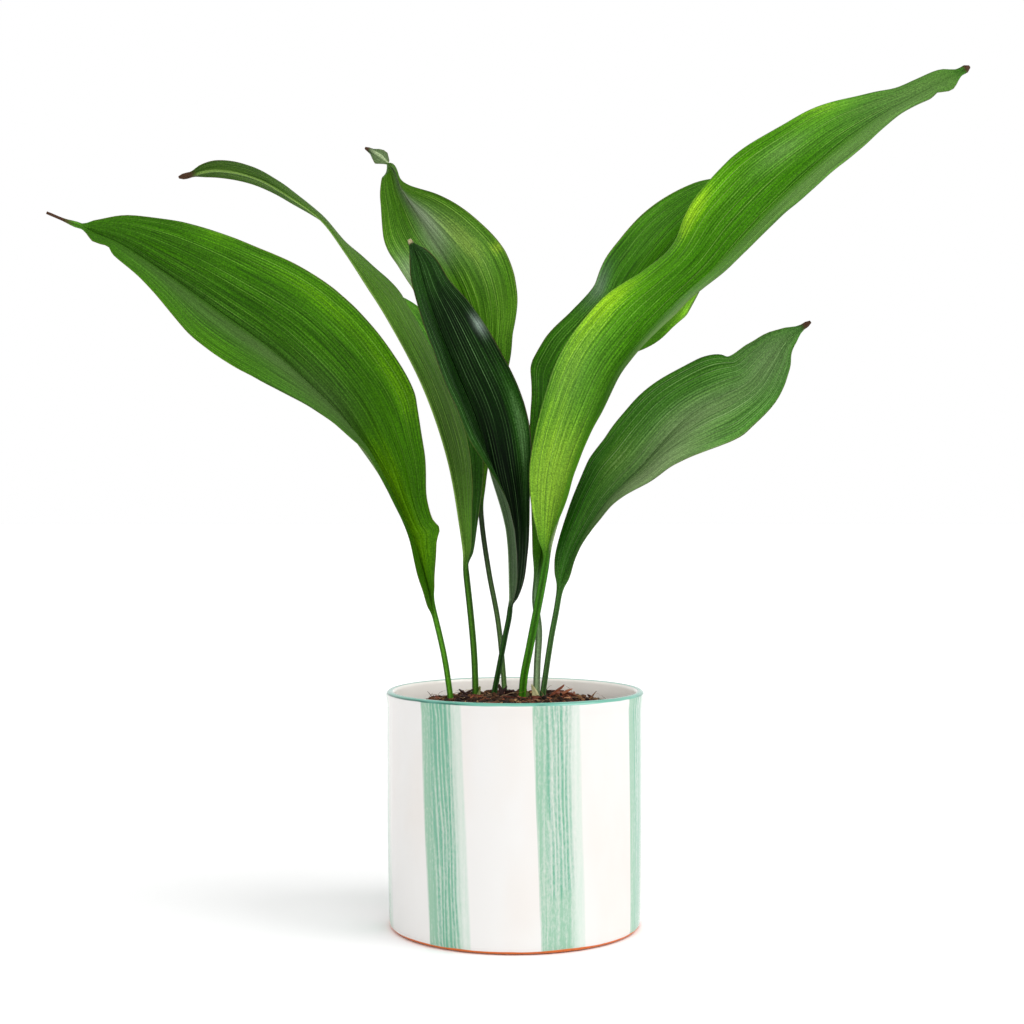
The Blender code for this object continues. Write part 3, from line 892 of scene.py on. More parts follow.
@dataclass(frozen=True)
class BrushedGlaze:
    """Glossy white tin glaze on terracotta, with copper-green strokes brushed on before firing.

    The glaze is smooth and pools a little, the green is thin and streaked by the bristles, and the foot
    is wiped bare, so the orange clay shows there.
    """

    name: str = "tin_glazed_terracotta"
    # painted light: the same glaze as outside, painted lighter against the shade inside the pot
    inside: str = "#FFF9F2"
    white: str = "#DAD8D6"
    white_warm: str = "#D8D2CD"
    green: str = "#86AF96"
    green_dark: str = "#5E9E84"
    green_pale: str = "#B2C9BA"
    line: str = "#62A693"
    line_dark: str = "#236355"
    clay: str = "#D66A12"
    clay_dark: str = "#B65414"
    pitch: float = 360 / 7  # degrees between strokes
    start: float = 7.05  # degrees right of the front, of one stroke's left edge at the lip
    width: float = 0.41  # of a stroke, as a share of the pitch
    combs: float = 11.0  # bristle marks across a stroke
    lean: float = 4.1  # degrees that a stroke drifts right from lip to foot
    lip_line: float = 1.7  # mm down from the lip that the green line reaches
    foot_line: float = 1.7  # mm up from the foot that the bare clay reaches
    height: float = 136.4  # mm, of the pot

    def build(self) -> bpy.types.Material:
        """Make the material.

        Returns:
            A node material that reads Object coordinates.
        """
        made, shader, add = new_material(self.name)
        pot = self.read(add)
        # the inside wall takes the lighter inside colour, painted light against the shade in the pot
        outside = add("MapRange", {0: pot.radius, 1: 0.0722, 2: 0.0726})
        ground = add("Mix", {0: outside, 6: linear(self.inside), 7: self.ground(add, pot)}, 2,
                     data_type="RGBA")
        laid, green = self.stroke(add, pot, *self.stroke_place(add, pot))
        laid = add("Math", {0: laid, 1: outside}, operation="MULTIPLY")
        painted = add("Mix", {0: laid, 6: ground, 7: green}, 2, data_type="RGBA")
        painted = self.with_lip_line(add, pot, painted)
        bare = self.bare_share(add, pot)
        speckle = add("TexNoise", {"Vector": pot.place, "Scale": 400.0, "Detail": 3.0})
        clay = add("Mix", {0: speckle, 6: linear(self.clay), 7: linear(self.clay_dark)}, 2,
                   data_type="RGBA")
        colour = add("Mix", {0: bare, 6: painted, 7: clay}, 2, data_type="RGBA")
        wire(shader, {"Base Color": colour, **self.gloss(add, pot, bare)})
        return made

    def read(self, add: Add) -> PotPoint:
        """Find where each point lies.

        Args:
            add: adds a node to the material.

        Returns:
            The point.
        """
        place = add("TexCoord", None, "Object")
        side, depth, up = add("SeparateXYZ", {0: place}).node.outputs
        level = add("Math", {0: up, 1: 1 / MM}, operation="MULTIPLY")
        flat = add("VectorMath", {0: place, 1: (1, 1, 0)}, operation="MULTIPLY")
        radius = add("VectorMath", {0: flat}, 1, operation="LENGTH")
        front = add("Math", {0: depth, 1: -1.0}, operation="MULTIPLY")
        turn = add("Math", {0: side, 1: front}, operation="ARCTAN2")
        return PotPoint(place, level, radius, add("Math", {0: turn}, operation="DEGREES"))

    def ground(self, add: Add, pot: PotPoint) -> Socket:
        """Colour the white glaze, with faint warm clouds where it lies thinner.

        Args:
            add: adds a node to the material.
            pot: the point on the pot.

        Returns:
            The colour.
        """
        drawn = add("Mapping", {"Vector": pot.place, "Scale": (1, 1, 0.45)})
        clouds = add("TexNoise", {"Vector": drawn, "Scale": 22.0, "Detail": 3.0})
        share = add("MapRange", {0: clouds, 1: 0.42, 2: 0.72})
        return add("Mix", {0: share, 6: linear(self.white), 7: linear(self.white_warm)}, 2,
                   data_type="RGBA")

    def stroke_place(self, add: Add, pot: PotPoint) -> tuple[Socket, Socket]:
        """Find where a point lies in its stroke.

        Args:
            add: adds a node to the material.
            pot: the point on the pot.

        Returns:
            The part across a stroke, 0 to 1 inside it and more between strokes, and 1 on every second
            stroke or 0 on the others.
        """
        lean = add("Math", {0: pot.level, 1: self.lean / self.height, 2: -self.lean - self.start},
                   operation="MULTIPLY_ADD")
        degrees = add("Math", {0: pot.turn, 1: lean}, operation="ADD")
        drawn = add("Mapping", {"Vector": pot.place, "Scale": (1, 1, 0.35)})
        sway = add("TexNoise", {"Vector": drawn, "Scale": 30.0, "Detail": 1.0})
        sway = add("Math", {0: sway, 1: 0.5}, operation="SUBTRACT")
        degrees = add("Math", {0: sway, 1: 1.8, 2: degrees}, operation="MULTIPLY_ADD")
        strokes = add("Math", {0: degrees, 1: 1 / self.pitch, 2: 7.0}, operation="MULTIPLY_ADD")
        number = add("Math", {0: strokes}, operation="FLOOR")
        part = add("Math", {0: strokes}, operation="FRACT")
        half = add("Math", {0: number, 1: 0.5}, operation="MULTIPLY")
        odd = add("Math", {0: add("Math", {0: half}, operation="FRACT"), 1: 2.0}, operation="MULTIPLY")
        return add("Math", {0: part, 1: self.width}, operation="DIVIDE"), odd

    def stroke(self, add: Add, pot: PotPoint, across: Socket, odd: Socket) -> tuple[Socket, Socket]:
        """Draw a stroke: solid at its left, combed by the bristles, and thin at its right.

        Args:
            add: adds a node to the material.
            pot: the point on the pot.
            across: the part across the stroke.
            odd: 1 on strokes whose bristle marks end above the foot.

        Returns:
            How much green lies at each point, and its colour.
        """
        noises = []
        for squash, settings in ((0.016, {"Scale": 520.0, "Detail": 2.5, "Roughness": 0.62}),
                                 (0.08, {"Scale": 130.0}),
                                 (0.4, {"Scale": 900.0, "Detail": 2.0, "Roughness": 0.7})):
            drawn = add("Mapping", {"Vector": pot.place, "Scale": (1, 1, squash)})
            noises.append(add("TexNoise", {"Vector": drawn, **settings}))
        bristles, broad, grain = noises
        ragged = add("Math", {0: bristles, 1: 0.08, 2: across}, operation="MULTIPLY_ADD")
        left = add("MapRange", {0: ragged, 1: 0.02, 2: 0.10}, interpolation_type="SMOOTHSTEP")
        right = add("MapRange", {0: ragged, 1: 0.99, 2: 1.05, 3: 1.0, 4: 0.0},
                    interpolation_type="SMOOTHSTEP")
        inside = add("Math", {0: left, 1: right}, operation="MULTIPLY")
        spread = add("Math", {0: broad, 1: 0.25, 2: across}, operation="MULTIPLY_ADD")
        full = add("MapRange", {0: spread, 1: 0.74, 2: 1.02, 3: 1.0, 4: 0.0},
                   interpolation_type="SMOOTHSTEP")
        gap, dark = self.comb(add, pot, across, odd, bristles, broad)
        body = add("Math", {0: broad, 1: 0.8, 2: -0.50}, operation="MULTIPLY_ADD")
        for part, share in ((grain, 0.9), (bristles, 1.3), (odd, -0.16), (gap, -0.40)):
            body = add("Math", {0: part, 1: share, 2: body}, operation="MULTIPLY_ADD")
        thin = add("MapRange", {0: full, 3: 0.6, 4: 1.0})
        laid = add("Math", {0: body, 1: thin}, operation="MULTIPLY", use_clamp=True)
        colour = add("Mix", {0: full, 6: linear(self.green_pale), 7: linear(self.green)}, 2,
                     data_type="RGBA")
        colour = add("Mix", {0: dark, 6: colour, 7: linear(self.green_dark)}, 2, data_type="RGBA")
        return add("Math", {0: laid, 1: inside}, operation="MULTIPLY"), colour

    def comb(self, add: Add, pot: PotPoint, across: Socket, odd: Socket, bristles: Socket,
             broad: Socket) -> list[Socket]:
        """Draw the bristle marks down the middle of a stroke.

        Args:
            add: adds a node to the material.
            pot: the point on the pot.
            across: the part across the stroke.
            odd: 1 on strokes whose bristle marks end above the foot.
            bristles: fine noise drawn out down the stroke.
            broad: coarser noise, drawn out less.

        Returns:
            1 in the pale gaps, and 1 on the dark lines between them.
        """
        off_middle = add("Math", {0: across, 1: 0.5}, operation="SUBTRACT")
        off_middle = add("Math", {0: off_middle}, operation="ABSOLUTE")
        middle = add("MapRange", {0: off_middle, 1: 0.16, 2: 0.38, 3: 1.0, 4: 0.0},
                     interpolation_type="SMOOTHSTEP")
        ends = add("Math", {0: bristles, 1: 40.0, 2: pot.level}, operation="MULTIPLY_ADD")
        ended = add("MapRange", {0: ends, 1: 50.0, 2: 56.0})
        reach = add("Mix", {0: odd, 2: 1.0, 3: ended})
        combed = add("Math", {0: middle, 1: reach}, operation="MULTIPLY")
        wave = add("Math", {0: across, 1: self.combs}, operation="MULTIPLY")
        wave = add("Math", {0: broad, 1: 2.5, 2: wave}, operation="MULTIPLY_ADD")
        wave = add("Math", {0: wave, 1: 2 * math.pi}, operation="MULTIPLY")
        wave = add("Math", {0: wave}, operation="COSINE")
        wave = add("Math", {0: bristles, 1: 3.0, 2: wave}, operation="MULTIPLY_ADD")
        marks = [add("MapRange", {0: wave, 1: low, 2: high}) for low, high in ((2.0, 2.7), (2.2, 0.8))]
        return [add("Math", {0: mark, 1: combed}, operation="MULTIPLY") for mark in marks]

    def with_lip_line(self, add: Add, pot: PotPoint, painted: Socket) -> Socket:
        """Add the green line round the lip, which is darker in places along its lower edge.

        Args:
            add: adds a node to the material.
            pot: the point on the pot.
            painted: the colour below.

        Returns:
            The colour with the line.
        """
        wander = add("TexNoise", {"Vector": pot.place, "Scale": 45.0})
        wavy = add("Math", {0: wander, 1: 1.0, 2: pot.level}, operation="MULTIPLY_ADD")
        top = self.height + 0.5 - self.lip_line
        line = add("MapRange", {0: wavy, 1: top - 0.15, 2: top + 0.2})
        lower = add("MapRange", {0: wavy, 1: top + 0.6, 2: top + 1.1, 3: 1.0, 4: 0.0})
        places = add("TexNoise", {"Vector": pot.place, "Scale": 28.0})
        places = add("MapRange", {0: places, 1: 0.45, 2: 0.58})
        dark = add("Math", {0: lower, 1: places}, operation="MULTIPLY")
        green = add("Mix", {0: dark, 6: linear(self.line), 7: linear(self.line_dark)}, 2,
                    data_type="RGBA")
        outer = add("MapRange", {0: pot.radius, 1: 0.0709, 2: 0.0717})
        line = add("Math", {0: line, 1: outer}, operation="MULTIPLY")
        return add("Mix", {0: line, 6: painted, 7: green}, 2, data_type="RGBA")

    def bare_share(self, add: Add, pot: PotPoint) -> Socket:
        """Find the bare clay of the foot, with its wavy upper edge.

        Args:
            add: adds a node to the material.
            pot: the point on the pot.

        Returns:
            1 on the clay and 0 on the glaze.
        """
        wander = add("TexNoise", {"Vector": pot.place, "Scale": 38.0})
        wavy = add("Math", {0: wander, 1: -1.6, 2: pot.level}, operation="MULTIPLY_ADD")
        edge = self.foot_line - 0.8
        return add("MapRange", {0: wavy, 1: edge - 0.12, 2: edge + 0.12, 3: 1.0, 4: 0.0},
                   interpolation_type="SMOOTHSTEP")

    def gloss(self, add: Add, pot: PotPoint, bare: Socket) -> dict[str, float | Socket]:
        """Draw the glaze's gloss and its faint pooling, and the clay's dull grain.

        Args:
            add: adds a node to the material.
            pot: the point on the pot.
            bare: 1 on the clay and 0 on the glaze.

        Returns:
            What goes into the shader beside the colour.
        """
        clouds = add("TexNoise", {"Vector": pot.place, "Scale": 60.0})
        rough = add("MapRange", {0: clouds, 3: 0.14, 4: 0.26})
        rough = add("Math", {0: bare, 1: 0.55, 2: rough}, operation="MULTIPLY_ADD")
        drawn = add("Mapping", {"Vector": pot.place, "Scale": (1, 1, 0.6)})
        pools = add("TexNoise", {"Vector": drawn, "Scale": 40.0})
        grit = add("TexNoise", {"Vector": pot.place, "Scale": 1500.0})
        grit = add("Math", {0: grit, 1: bare}, operation="MULTIPLY")
        relief = add("Math", {0: grit, 1: 0.25, 2: pools}, operation="MULTIPLY_ADD")
        bump = add("Bump", {"Strength": 0.35, "Distance": 0.5 * MM, "Height": relief})
        return {"Roughness": rough, "IOR": 1.52, "Coat Weight": 0.3, "Coat Roughness": 0.06,
                "Normal": bump}


@dataclass
class Pot:
    """The straight-sided pot: thrown, glazed inside and out, with a half-round lip."""

    node: str = "pot"
    height: float = 136.4  # mm, as are all the sizes below; "outer" and "inner" are radii
    lip_outer: float = 75.0
    lip_thickness: float = 4.8
    wall_outer: float = 74.2
    foot_outer: float = 73.1
    foot_edge: float = 2.2
    inner: float = 69.3
    floor: float = 8.0
    fillet: float = 9.0
    steps: int = 256  # faces round
    uneven: float = 0.22  # that the hand-thrown wall wanders in and out
    glaze_edge: float = 0.25  # that the glaze stands proud of the bare foot

    def arc(self, centre: tuple[float, float], radius: float, start: float, end: float,
            count: int) -> list[tuple[float, float]]:
        """Points along an arc in the (r, z) plane, angles in degrees from +r."""
        turns = np.radians(np.linspace(start, end, count + 1))
        return [(centre[0] + radius * math.cos(a), centre[1] + radius * math.sin(a)) for a in turns]

    def profile(self) -> list[tuple[float, float]]:
        """Draw the outline.

        Returns:
            (r, z) in mm, from the middle of the inside floor over the lip to the base.
        """
        floor = [(r, self.floor) for r in (0.0, 15.0, 32.0, 48.0)]
        fillet = self.arc((self.inner - self.fillet, self.floor + self.fillet), self.fillet, -90, 0, 10)
        inside = [(self.inner, z) for z in np.linspace(24, self.height - 9, 14)]
        half = self.lip_thickness / 2
        lip = self.arc((self.lip_outer - half, self.height - half), half, 180, 0, 16)
        neck = [(self.lip_outer - 0.12, self.height - 4), (self.lip_outer - 0.4, self.height - 6.2)]
        wall = [(self.wall_outer + 0.1 - 0.1 * i / 12, z)
                for i, z in enumerate(np.linspace(self.height - 9, self.height / 2, 13))]
        low = [(self.wall_outer + (self.foot_outer - self.wall_outer) * s ** 1.4, z)
               for s, z in zip(np.linspace(0, 1, 16)[1:], np.linspace(self.height / 2, 3.4, 16)[1:])]
        step = [(self.foot_outer - self.glaze_edge * 0.4, 2.75),
                (self.foot_outer - self.glaze_edge, 2.45)]
        edge = self.foot_edge
        foot = self.arc((self.foot_outer - self.glaze_edge - edge, edge), edge, 0, -90, 7)
        base = [(r, 0.0) for r in (60.0, 40.0, 20.0, 0.0)]
        return floor + fillet + inside + lip + neck + wall + low + step + foot + base

    def wander(self, places: np.ndarray) -> np.ndarray:
        """Move the wall in and out a little, and the lip up and down, as a thrown pot's are.

        Args:
            places: the pot's points, in metres.

        Returns:
            Their new places.
        """
        moved = places.copy()
        for row in moved:
            radius = math.hypot(row[0], row[1])
            if radius < 0.06:
                continue
            where = Vector((row[0] * 16, row[1] * 16, row[2] * 9))
            push = self.uneven * MM * noise.noise(where)
            row[:2] *= 1 + push * smoothstep(0.002, 0.012, row[2]) / radius
            row[2] += 0.25 * MM * noise.noise(where * 0.7 + Vector((5, 5, 5))) * smoothstep(
                0.1, self.height * MM, row[2])
        return moved

    def build(self) -> None:
        """Spin the profile into a pot in place of the frame's, and glaze it."""
        piece = turned("pot_glazed", self.profile(), self.steps)
        place_points(piece, self.wander(points_of(piece)))
        fit_in(piece, BrushedGlaze(height=self.height).build(), "glazed_clay", self.node, smooth=50.0)


# ---------------------------------------------------------------- mix and what lies on it


@dataclass(frozen=True)
class CrumbFinish:
    """Dull, porous plant matter, such as peat, bark and coir, from near black to foxy brown.

    A tone kept on each crumb picks its colour, so that neighbours differ as they do in a real mix.
    """

    name: str
    stops: tuple[tuple[float, str], ...]  # tone and colour, the darkest first
    roughness: float = 0.92
    grain: float = 0.6  # mm

    def build(self) -> bpy.types.Material:
        """Make the material.

        Returns:
            A node material that reads the piece's tone.
        """
        made, shader, add = new_material(self.name)
        tone = add("Attribute", None, "Fac", attribute_name=TONE)
        fine = add("TexNoise", {"Vector": add("TexCoord", None, "Object"),
                                "Scale": 1 / (self.grain * MM), "Detail": 3.0, "Roughness": 0.65})
        centred = add("Math", {0: fine, 1: 0.5}, operation="SUBTRACT")
        tone = add("Math", {0: centred, 1: 0.7, 2: tone}, operation="MULTIPLY_ADD")
        colour = add("ValToRGB", {0: tone})
        set_stops(colour, self.stops)
        bump = add("Bump", {"Strength": 0.8, "Distance": 0.3 * MM, "Height": fine})
        wire(shader, {"Base Color": colour, "Roughness": self.roughness, "Specular IOR Level": 0.25,
                      "Normal": bump})
        return made


# Damp peat and bark fines: near black in the hollows, with brown and straw-coloured crumbs.
CRUMBS = CrumbFinish("peat_and_bark_crumbs", ((0.08, "#120A05"), (0.4, "#342012"), (0.7, "#684428"),
                                              (0.95, "#B08C60")))
# Split pine bark: foxy red on fresh faces, dark in the grain, and dull all over.
BARK = CrumbFinish("split_pine_bark", ((0.1, "#240F0A"), (0.45, "#5A2A1A"), (0.8, "#8E5034"),
                                       (1.0, "#BC8862")), 0.85, 0.9)
# Dried coir and root hairs: from brown to pale tan, and dull.
FIBRE = CrumbFinish("dry_root_fibre", ((0.0, "#4A2E1C"), (0.5, "#8A6644"), (1.0, "#CDB48C")), 0.8, 1.5)
# The withered scale round a stalk's foot: thin as paper, from olive to cream.
SHEATH = CrumbFinish("papery_bud_scale", ((0.0, "#4E5A2C"), (0.5, "#8E9258"), (1.0, "#CCC494")), 0.6, 1.2)
# Corky skin of the rootstock: blotched brown and tan, and matt.
ROOTSTOCK = CrumbFinish("rhizome_skin", ((0.1, "#5B4326"), (0.5, "#8A6A40"), (0.9, "#B79A68")), 0.75, 1.6)


@dataclass
class PottingMix:
    """The mounded mix: a rough bed with loose crumbs, slivers and fibres over it."""

    node: str = "potting_mix"
    mound: tuple[tuple[float, float], ...] = (  # radius and height in mm
        (0, 132.0), (18, 131.9), (34, 131.2), (48, 129.0), (60, 125.6), (69.0, 123.4))
    floor: float = 8.3  # mm
    ring_step: float = 1.1  # mm
    steps: int = 240  # faces round
    crumbs: int = 1700
    slivers: int = 230
    fibres: int = 60
    seed: int = 11
    # slivers stood on end: x and y in mm, heading and rise in degrees, size and tone
    propped: tuple[tuple[float, float, float, float, float, float], ...] = (
        (24.5, -4, 8, 36, 2.2, 0.62), (29, 0, 15, 24, 2.0, 0.8), (33, 4, 160, 18, 1.9, 0.5),
        (-8.5, 1, 115, 46, 1.7, 0.06), (-7, 5, 40, 38, 1.6, 0.03), (-29.5, 4, 168, 30, 1.8, 0.10),
        (-28, 8, 20, 24, 1.6, 0.06))
    stalks: tuple[tuple[float, float], ...] = ()  # x and y in mm, where each leaves the mix

    def height(self, radius: float) -> float:
        """The smooth mound's height in mm at a radius in mm."""
        radii, heights = zip(*self.mound)
        return float(np.interp(radius, radii, heights))

    def rough(self, x: float, y: float) -> float:
        """Heap the bed's lumps.

        Args:
            x: mm to the right.
            y: mm to the back.

        Returns:
            How far they stand above the smooth mound there, in mm.
        """
        lumps = noise.noise(Vector((x / 7.5, y / 7.5, 0.0))) * 1.1
        clods = abs(noise.noise(Vector((x / 2.8, y / 2.8, 7.0)))) * 1.5
        grit = noise.noise(Vector((x / 1.3, y / 1.3, 3.0))) * 0.5
        return (lumps + clods + grit - 0.35) * float(smoothstep(69.0, 66.5, math.hypot(x, y)))

    def top(self, x: float, y: float) -> float:
        """The bed's height in mm at a place in mm."""
        return self.height(math.hypot(x, y)) + self.rough(x, y)

    def build(self) -> None:
        """Model the bed and what lies on it."""
        self.bed()
        self.loose_crumbs()
        self.loose_slivers()
        self.loose_fibres()

    def bed(self) -> None:
        """Model the solid mix with its rough top, in place of the frame's node."""
        edge = self.mound[-1][0]
        radii = np.linspace(0, edge, round(edge / self.ring_step))
        outline = [(r, self.height(r)) for r in radii]
        outline += [(edge, z) for z in np.linspace(110, 20, 6)] + [(60.3, self.floor), (0.0, self.floor)]
        piece = turned("mix_bed", outline, self.steps)
        places = points_of(piece)
        tones = np.full(len(places), 0.35)
        for number, (x, y, z) in enumerate(places / MM):
            if z > self.height(math.hypot(x, y)) - 0.5:
                lift = self.rough(x, y)
                places[number, 2] += lift * MM
                # the tone rises with the lumps: darker in the hollows, lighter on top
                tones[number] = 0.30 + 0.16 * lift + 0.25 * noise.noise(Vector((x / 5, y / 5, 11.0)))
        place_points(piece, places)
        add_attribute(piece, TONE, tones)
        fit_in(piece, CRUMBS.build(), "potting_mix", self.node, smooth=35.0)

    def spots(self, random: np.random.Generator, count: int, clear: float, edge: float) -> np.ndarray:
        """Pick random places on the mound.

        Args:
            random: the generator.
            count: how many.
            clear: mm that a place keeps off every stalk.
            edge: mm off the axis that they reach.

        Returns:
            x and y in mm, one row for each place.
        """
        found = []
        while len(found) < count:
            radius = edge * math.sqrt(random.uniform())
            turn = random.uniform(0, 2 * math.pi)
            x, y = radius * math.cos(turn), radius * math.sin(turn)
            if all(math.hypot(x - sx, y - sy) > clear for sx, sy in self.stalks):
                found.append((x, y))
        return np.array(found)

    def lump(self, name: str, seed: int, size: tuple[float, float, float]) -> Piece:
        """Model one crumb: an angular clod of a few dozen faces.

        Args:
            name: the new object's name.
            seed: a number that sets its shape.
            size: its half lengths, in mm.

        Returns:
            The object, about the origin.
        """
        piece = begin(name, bpy.ops.mesh.primitive_ico_sphere_add, subdivisions=2, radius=1)
        places = points_of(piece)
        for row in places:
            row *= 1 + 0.42 * noise.noise(Vector(row) * 1.3 + Vector((seed * 3.1, 0, 0)))
        place_points(piece, places * np.array(size) * MM)
        thin = piece.modifiers.new("fewer faces", "DECIMATE")
        thin.ratio = 0.55
        pick(piece)
        bpy.ops.object.modifier_apply(modifier=thin.name)
        return piece

    def scattered(self, random: np.random.Generator, spots: np.ndarray, scale: tuple[float, float],
                  sink: float, tilt: float) -> list[Matrix]:
        """Lay copies on the bed.

        Args:
            random: the generator.
            spots: places in mm.
            scale: smallest and largest size.
            sink: mm that a copy of size 1 stands above the bed.
            tilt: the most that a copy tips, in radians.

        Returns:
            One matrix for each spot.
        """
        placed = []
        for x, y in spots:
            size = scale[0] + (scale[1] - scale[0]) * random.uniform() ** 2.2
            turn = Matrix.Rotation(random.uniform(0, 2 * math.pi), 4, "Z")
            tip = Matrix.Rotation(random.normal(0, tilt), 4, "Y") @ Matrix.Rotation(
                random.normal(0, tilt), 4, "X")
            at = Matrix.Translation((x * MM, y * MM, (self.top(x, y) + sink * size) * MM))
            placed.append(at @ turn @ tip @ Matrix.Scale(size, 4))
        return placed

    def loose_crumbs(self) -> None:
        """Scatter crumbs about 1 to 4 mm across."""
        random = np.random.default_rng(self.seed)
        shapes = [self.lump(f"crumb_{i}", i, (1.0, 0.8, 0.65)) for i in range(5)]
        placed = self.scattered(random, self.spots(random, self.crumbs, 2.6, 67.0), (0.5, 2.0), 0.2, 0.6)
        tones = np.clip(random.normal(0.45, 0.2, len(placed)), 0.02, 1)
        piece = stamped("mix_crumbs", shapes, placed, tones)
        fit_in(piece, CRUMBS.build(), "potting_mix", smooth=28.0)

    def sliver(self, name: str, seed: int) -> Piece:
        """Model one sliver of bark or wood, ragged at both ends.

        Args:
            name: the new object's name.
            seed: a number that sets its shape.

        Returns:
            The object, about the origin.
        """
        piece = begin(name, bpy.ops.mesh.primitive_cube_add, size=1)
        in_edit(piece, (bpy.ops.mesh.subdivide, {"number_cuts": 2}))
        places = points_of(piece)
        for row in places:
            end = abs(row[0]) * 2
            row[1] *= 1 - 0.45 * end ** 2
            row[2] *= 1 - 0.5 * end ** 2
            wobble = Vector(row) * 2.1 + Vector((seed * 5.3, 2, 0))
            row[0] += 0.16 * noise.noise(wobble)
            row[1] += 0.16 * noise.noise(wobble + Vector((9, 0, 0)))
            row[2] += 0.25 * noise.noise(wobble + Vector((0, 9, 0))) + 0.25 * (row[0] ** 2)
        place_points(piece, places * np.array([4.6, 1.3, 0.55]) * MM)
        return piece

    def loose_slivers(self) -> None:
        """Scatter slivers about 3 to 8 mm long, and add the propped ones."""
        random = np.random.default_rng(self.seed + 1)
        shapes = [self.sliver(f"sliver_{i}", i) for i in range(5)]
        placed = self.scattered(random, self.spots(random, self.slivers, 4.0, 64.0), (0.6, 1.7), 0.6, 0.22)
        tones = np.clip(random.normal(0.55, 0.22, len(placed)), 0.05, 1)
        for x, y, heading, rise, size, tone in self.propped:
            at = Matrix.Translation((x * MM, y * MM, (self.top(x, y) + size * (0.6 + rise / 30)) * MM))
            turn = Matrix.Rotation(math.radians(heading), 4, "Z")
            tip = Matrix.Rotation(math.radians(-rise), 4, "Y")
            placed.append(at @ turn @ tip @ Matrix.Scale(size, 4))
            tones = np.append(tones, tone)
        piece = stamped("mix_slivers", shapes, placed, tones)
        fit_in(piece, BARK.build(), "potting_mix", smooth=28.0)

    def loose_fibres(self) -> None:
        """Strew root hairs and coir, as fine as thread, which here and there stand up."""
        random = np.random.default_rng(self.seed + 2)
        runs = []
        for x, y in self.spots(random, self.fibres, 3.0, 62.0):
            length = random.uniform(5, 16)
            heading = random.uniform(0, 2 * math.pi)
            bend = random.normal(0, 0.9)
            rise = random.uniform(0.0, 0.35) if random.uniform() > 0.25 else random.uniform(0.5, 1.1)
            points = []
            for step in np.linspace(0, 1, 8):
                turn = heading + bend * step
                px = x + length * step * math.cos(turn)
                py = y + length * step * math.sin(turn)
                lift = 0.5 + length * rise * step * (1 - 0.35 * step) * 0.6
                if math.hypot(px, py) < 67:
                    points.append((px, py, self.top(px, py) + lift))
            if len(points) > 3:
                runs.append((points, random.uniform(0.10, 0.24)))
        piece = threads("mix_fibres", runs)
        tones = np.interp(points_of(piece)[:, 0] % 0.013, (0, 0.013), (0.2, 1.0))
        add_attribute(piece, TONE, tones)
        fit_in(piece, FIBRE.build(), "potting_mix", smooth=60.0)


def threads(name: str, runs: Sequence[tuple[Sequence[tuple[float, float, float]], float]]) -> Piece:
    """Make thin tapering threads, as one piece.

    Args:
        name: the new piece's name.
        runs: for each thread its points in mm and its radius in mm.

    Returns:
        The piece.
    """
    curve = bpy.data.curves.new(name, "CURVE")
    curve.dimensions = "3D"
    curve.bevel_depth = MM
    curve.bevel_resolution = 1
    curve.use_fill_caps = True
    for points, radius in runs:
        spline = curve.splines.new("POLY")
        spline.points.add(len(points) - 1)
        for number, (target, place) in enumerate(zip(spline.points, points)):
            target.co = (*(c * MM for c in place), 1)
            target.radius = radius * (1 - 0.7 * number / (len(points) - 1))
    piece = bpy.data.objects.new(name, curve)
    bpy.context.scene.collection.objects.link(piece)
    pick(piece)
    bpy.ops.object.convert(target="MESH")
    piece = bpy.context.object
    in_edit(piece, (bpy.ops.mesh.remove_doubles, {"threshold": 1e-6}),
            (bpy.ops.mesh.normals_make_consistent, {"inside": False}))
    return piece


@dataclass
class BarkChip:
    """A chip of pine bark, split along its grain and ragged at its ends."""

    node: str
    heading: float  # degrees, of its thin end
    size: tuple[float, float, float]  # mm
    tone: float
    seed: int

    def build(self) -> None:
        """Model the chip where the frame holds it."""
        low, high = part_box(self.node)
        middle = (low + high) / 2
        piece = begin(self.node + "_split", bpy.ops.mesh.primitive_cube_add, size=1)
        in_edit(piece, (bpy.ops.mesh.subdivide, {"number_cuts": 9}))
        places = points_of(piece)
        length, width, thickness = self.size
        for row in places:
            x, y, z = row
            narrow = 1 - 0.5 * smoothstep(-0.1, 0.5, x)
            splinter = noise.noise(Vector((self.seed, y * 5, z * 3)))
            row[0] = x * (0.94 + 0.22 * splinter * abs(x) * 2)
            row[1] = y * narrow * (0.92 + 0.16 * noise.noise(Vector((x * 4, self.seed, z * 2))))
            layer = noise.noise(Vector((x * 1.5, y * 7, self.seed)))
            row[2] = z * (1 - 0.4 * smoothstep(0, 0.5, x)) + 0.16 * layer * (abs(z) * 2)
        places = places * np.array([length, width, thickness]) * MM
        turn = Matrix.Rotation(math.radians(self.heading), 3, "Z")
        place_points(piece, places @ np.array(turn).T + np.array(middle))
        tones = self.tone + 0.3 * np.array([noise.noise(Vector(row) * 420) for row in places])
        add_attribute(piece, TONE, tones)
        fit_in(piece, BARK.build(), "bark", self.node, smooth=30.0)


# ---------------------------------------------------------------- the seven leaves

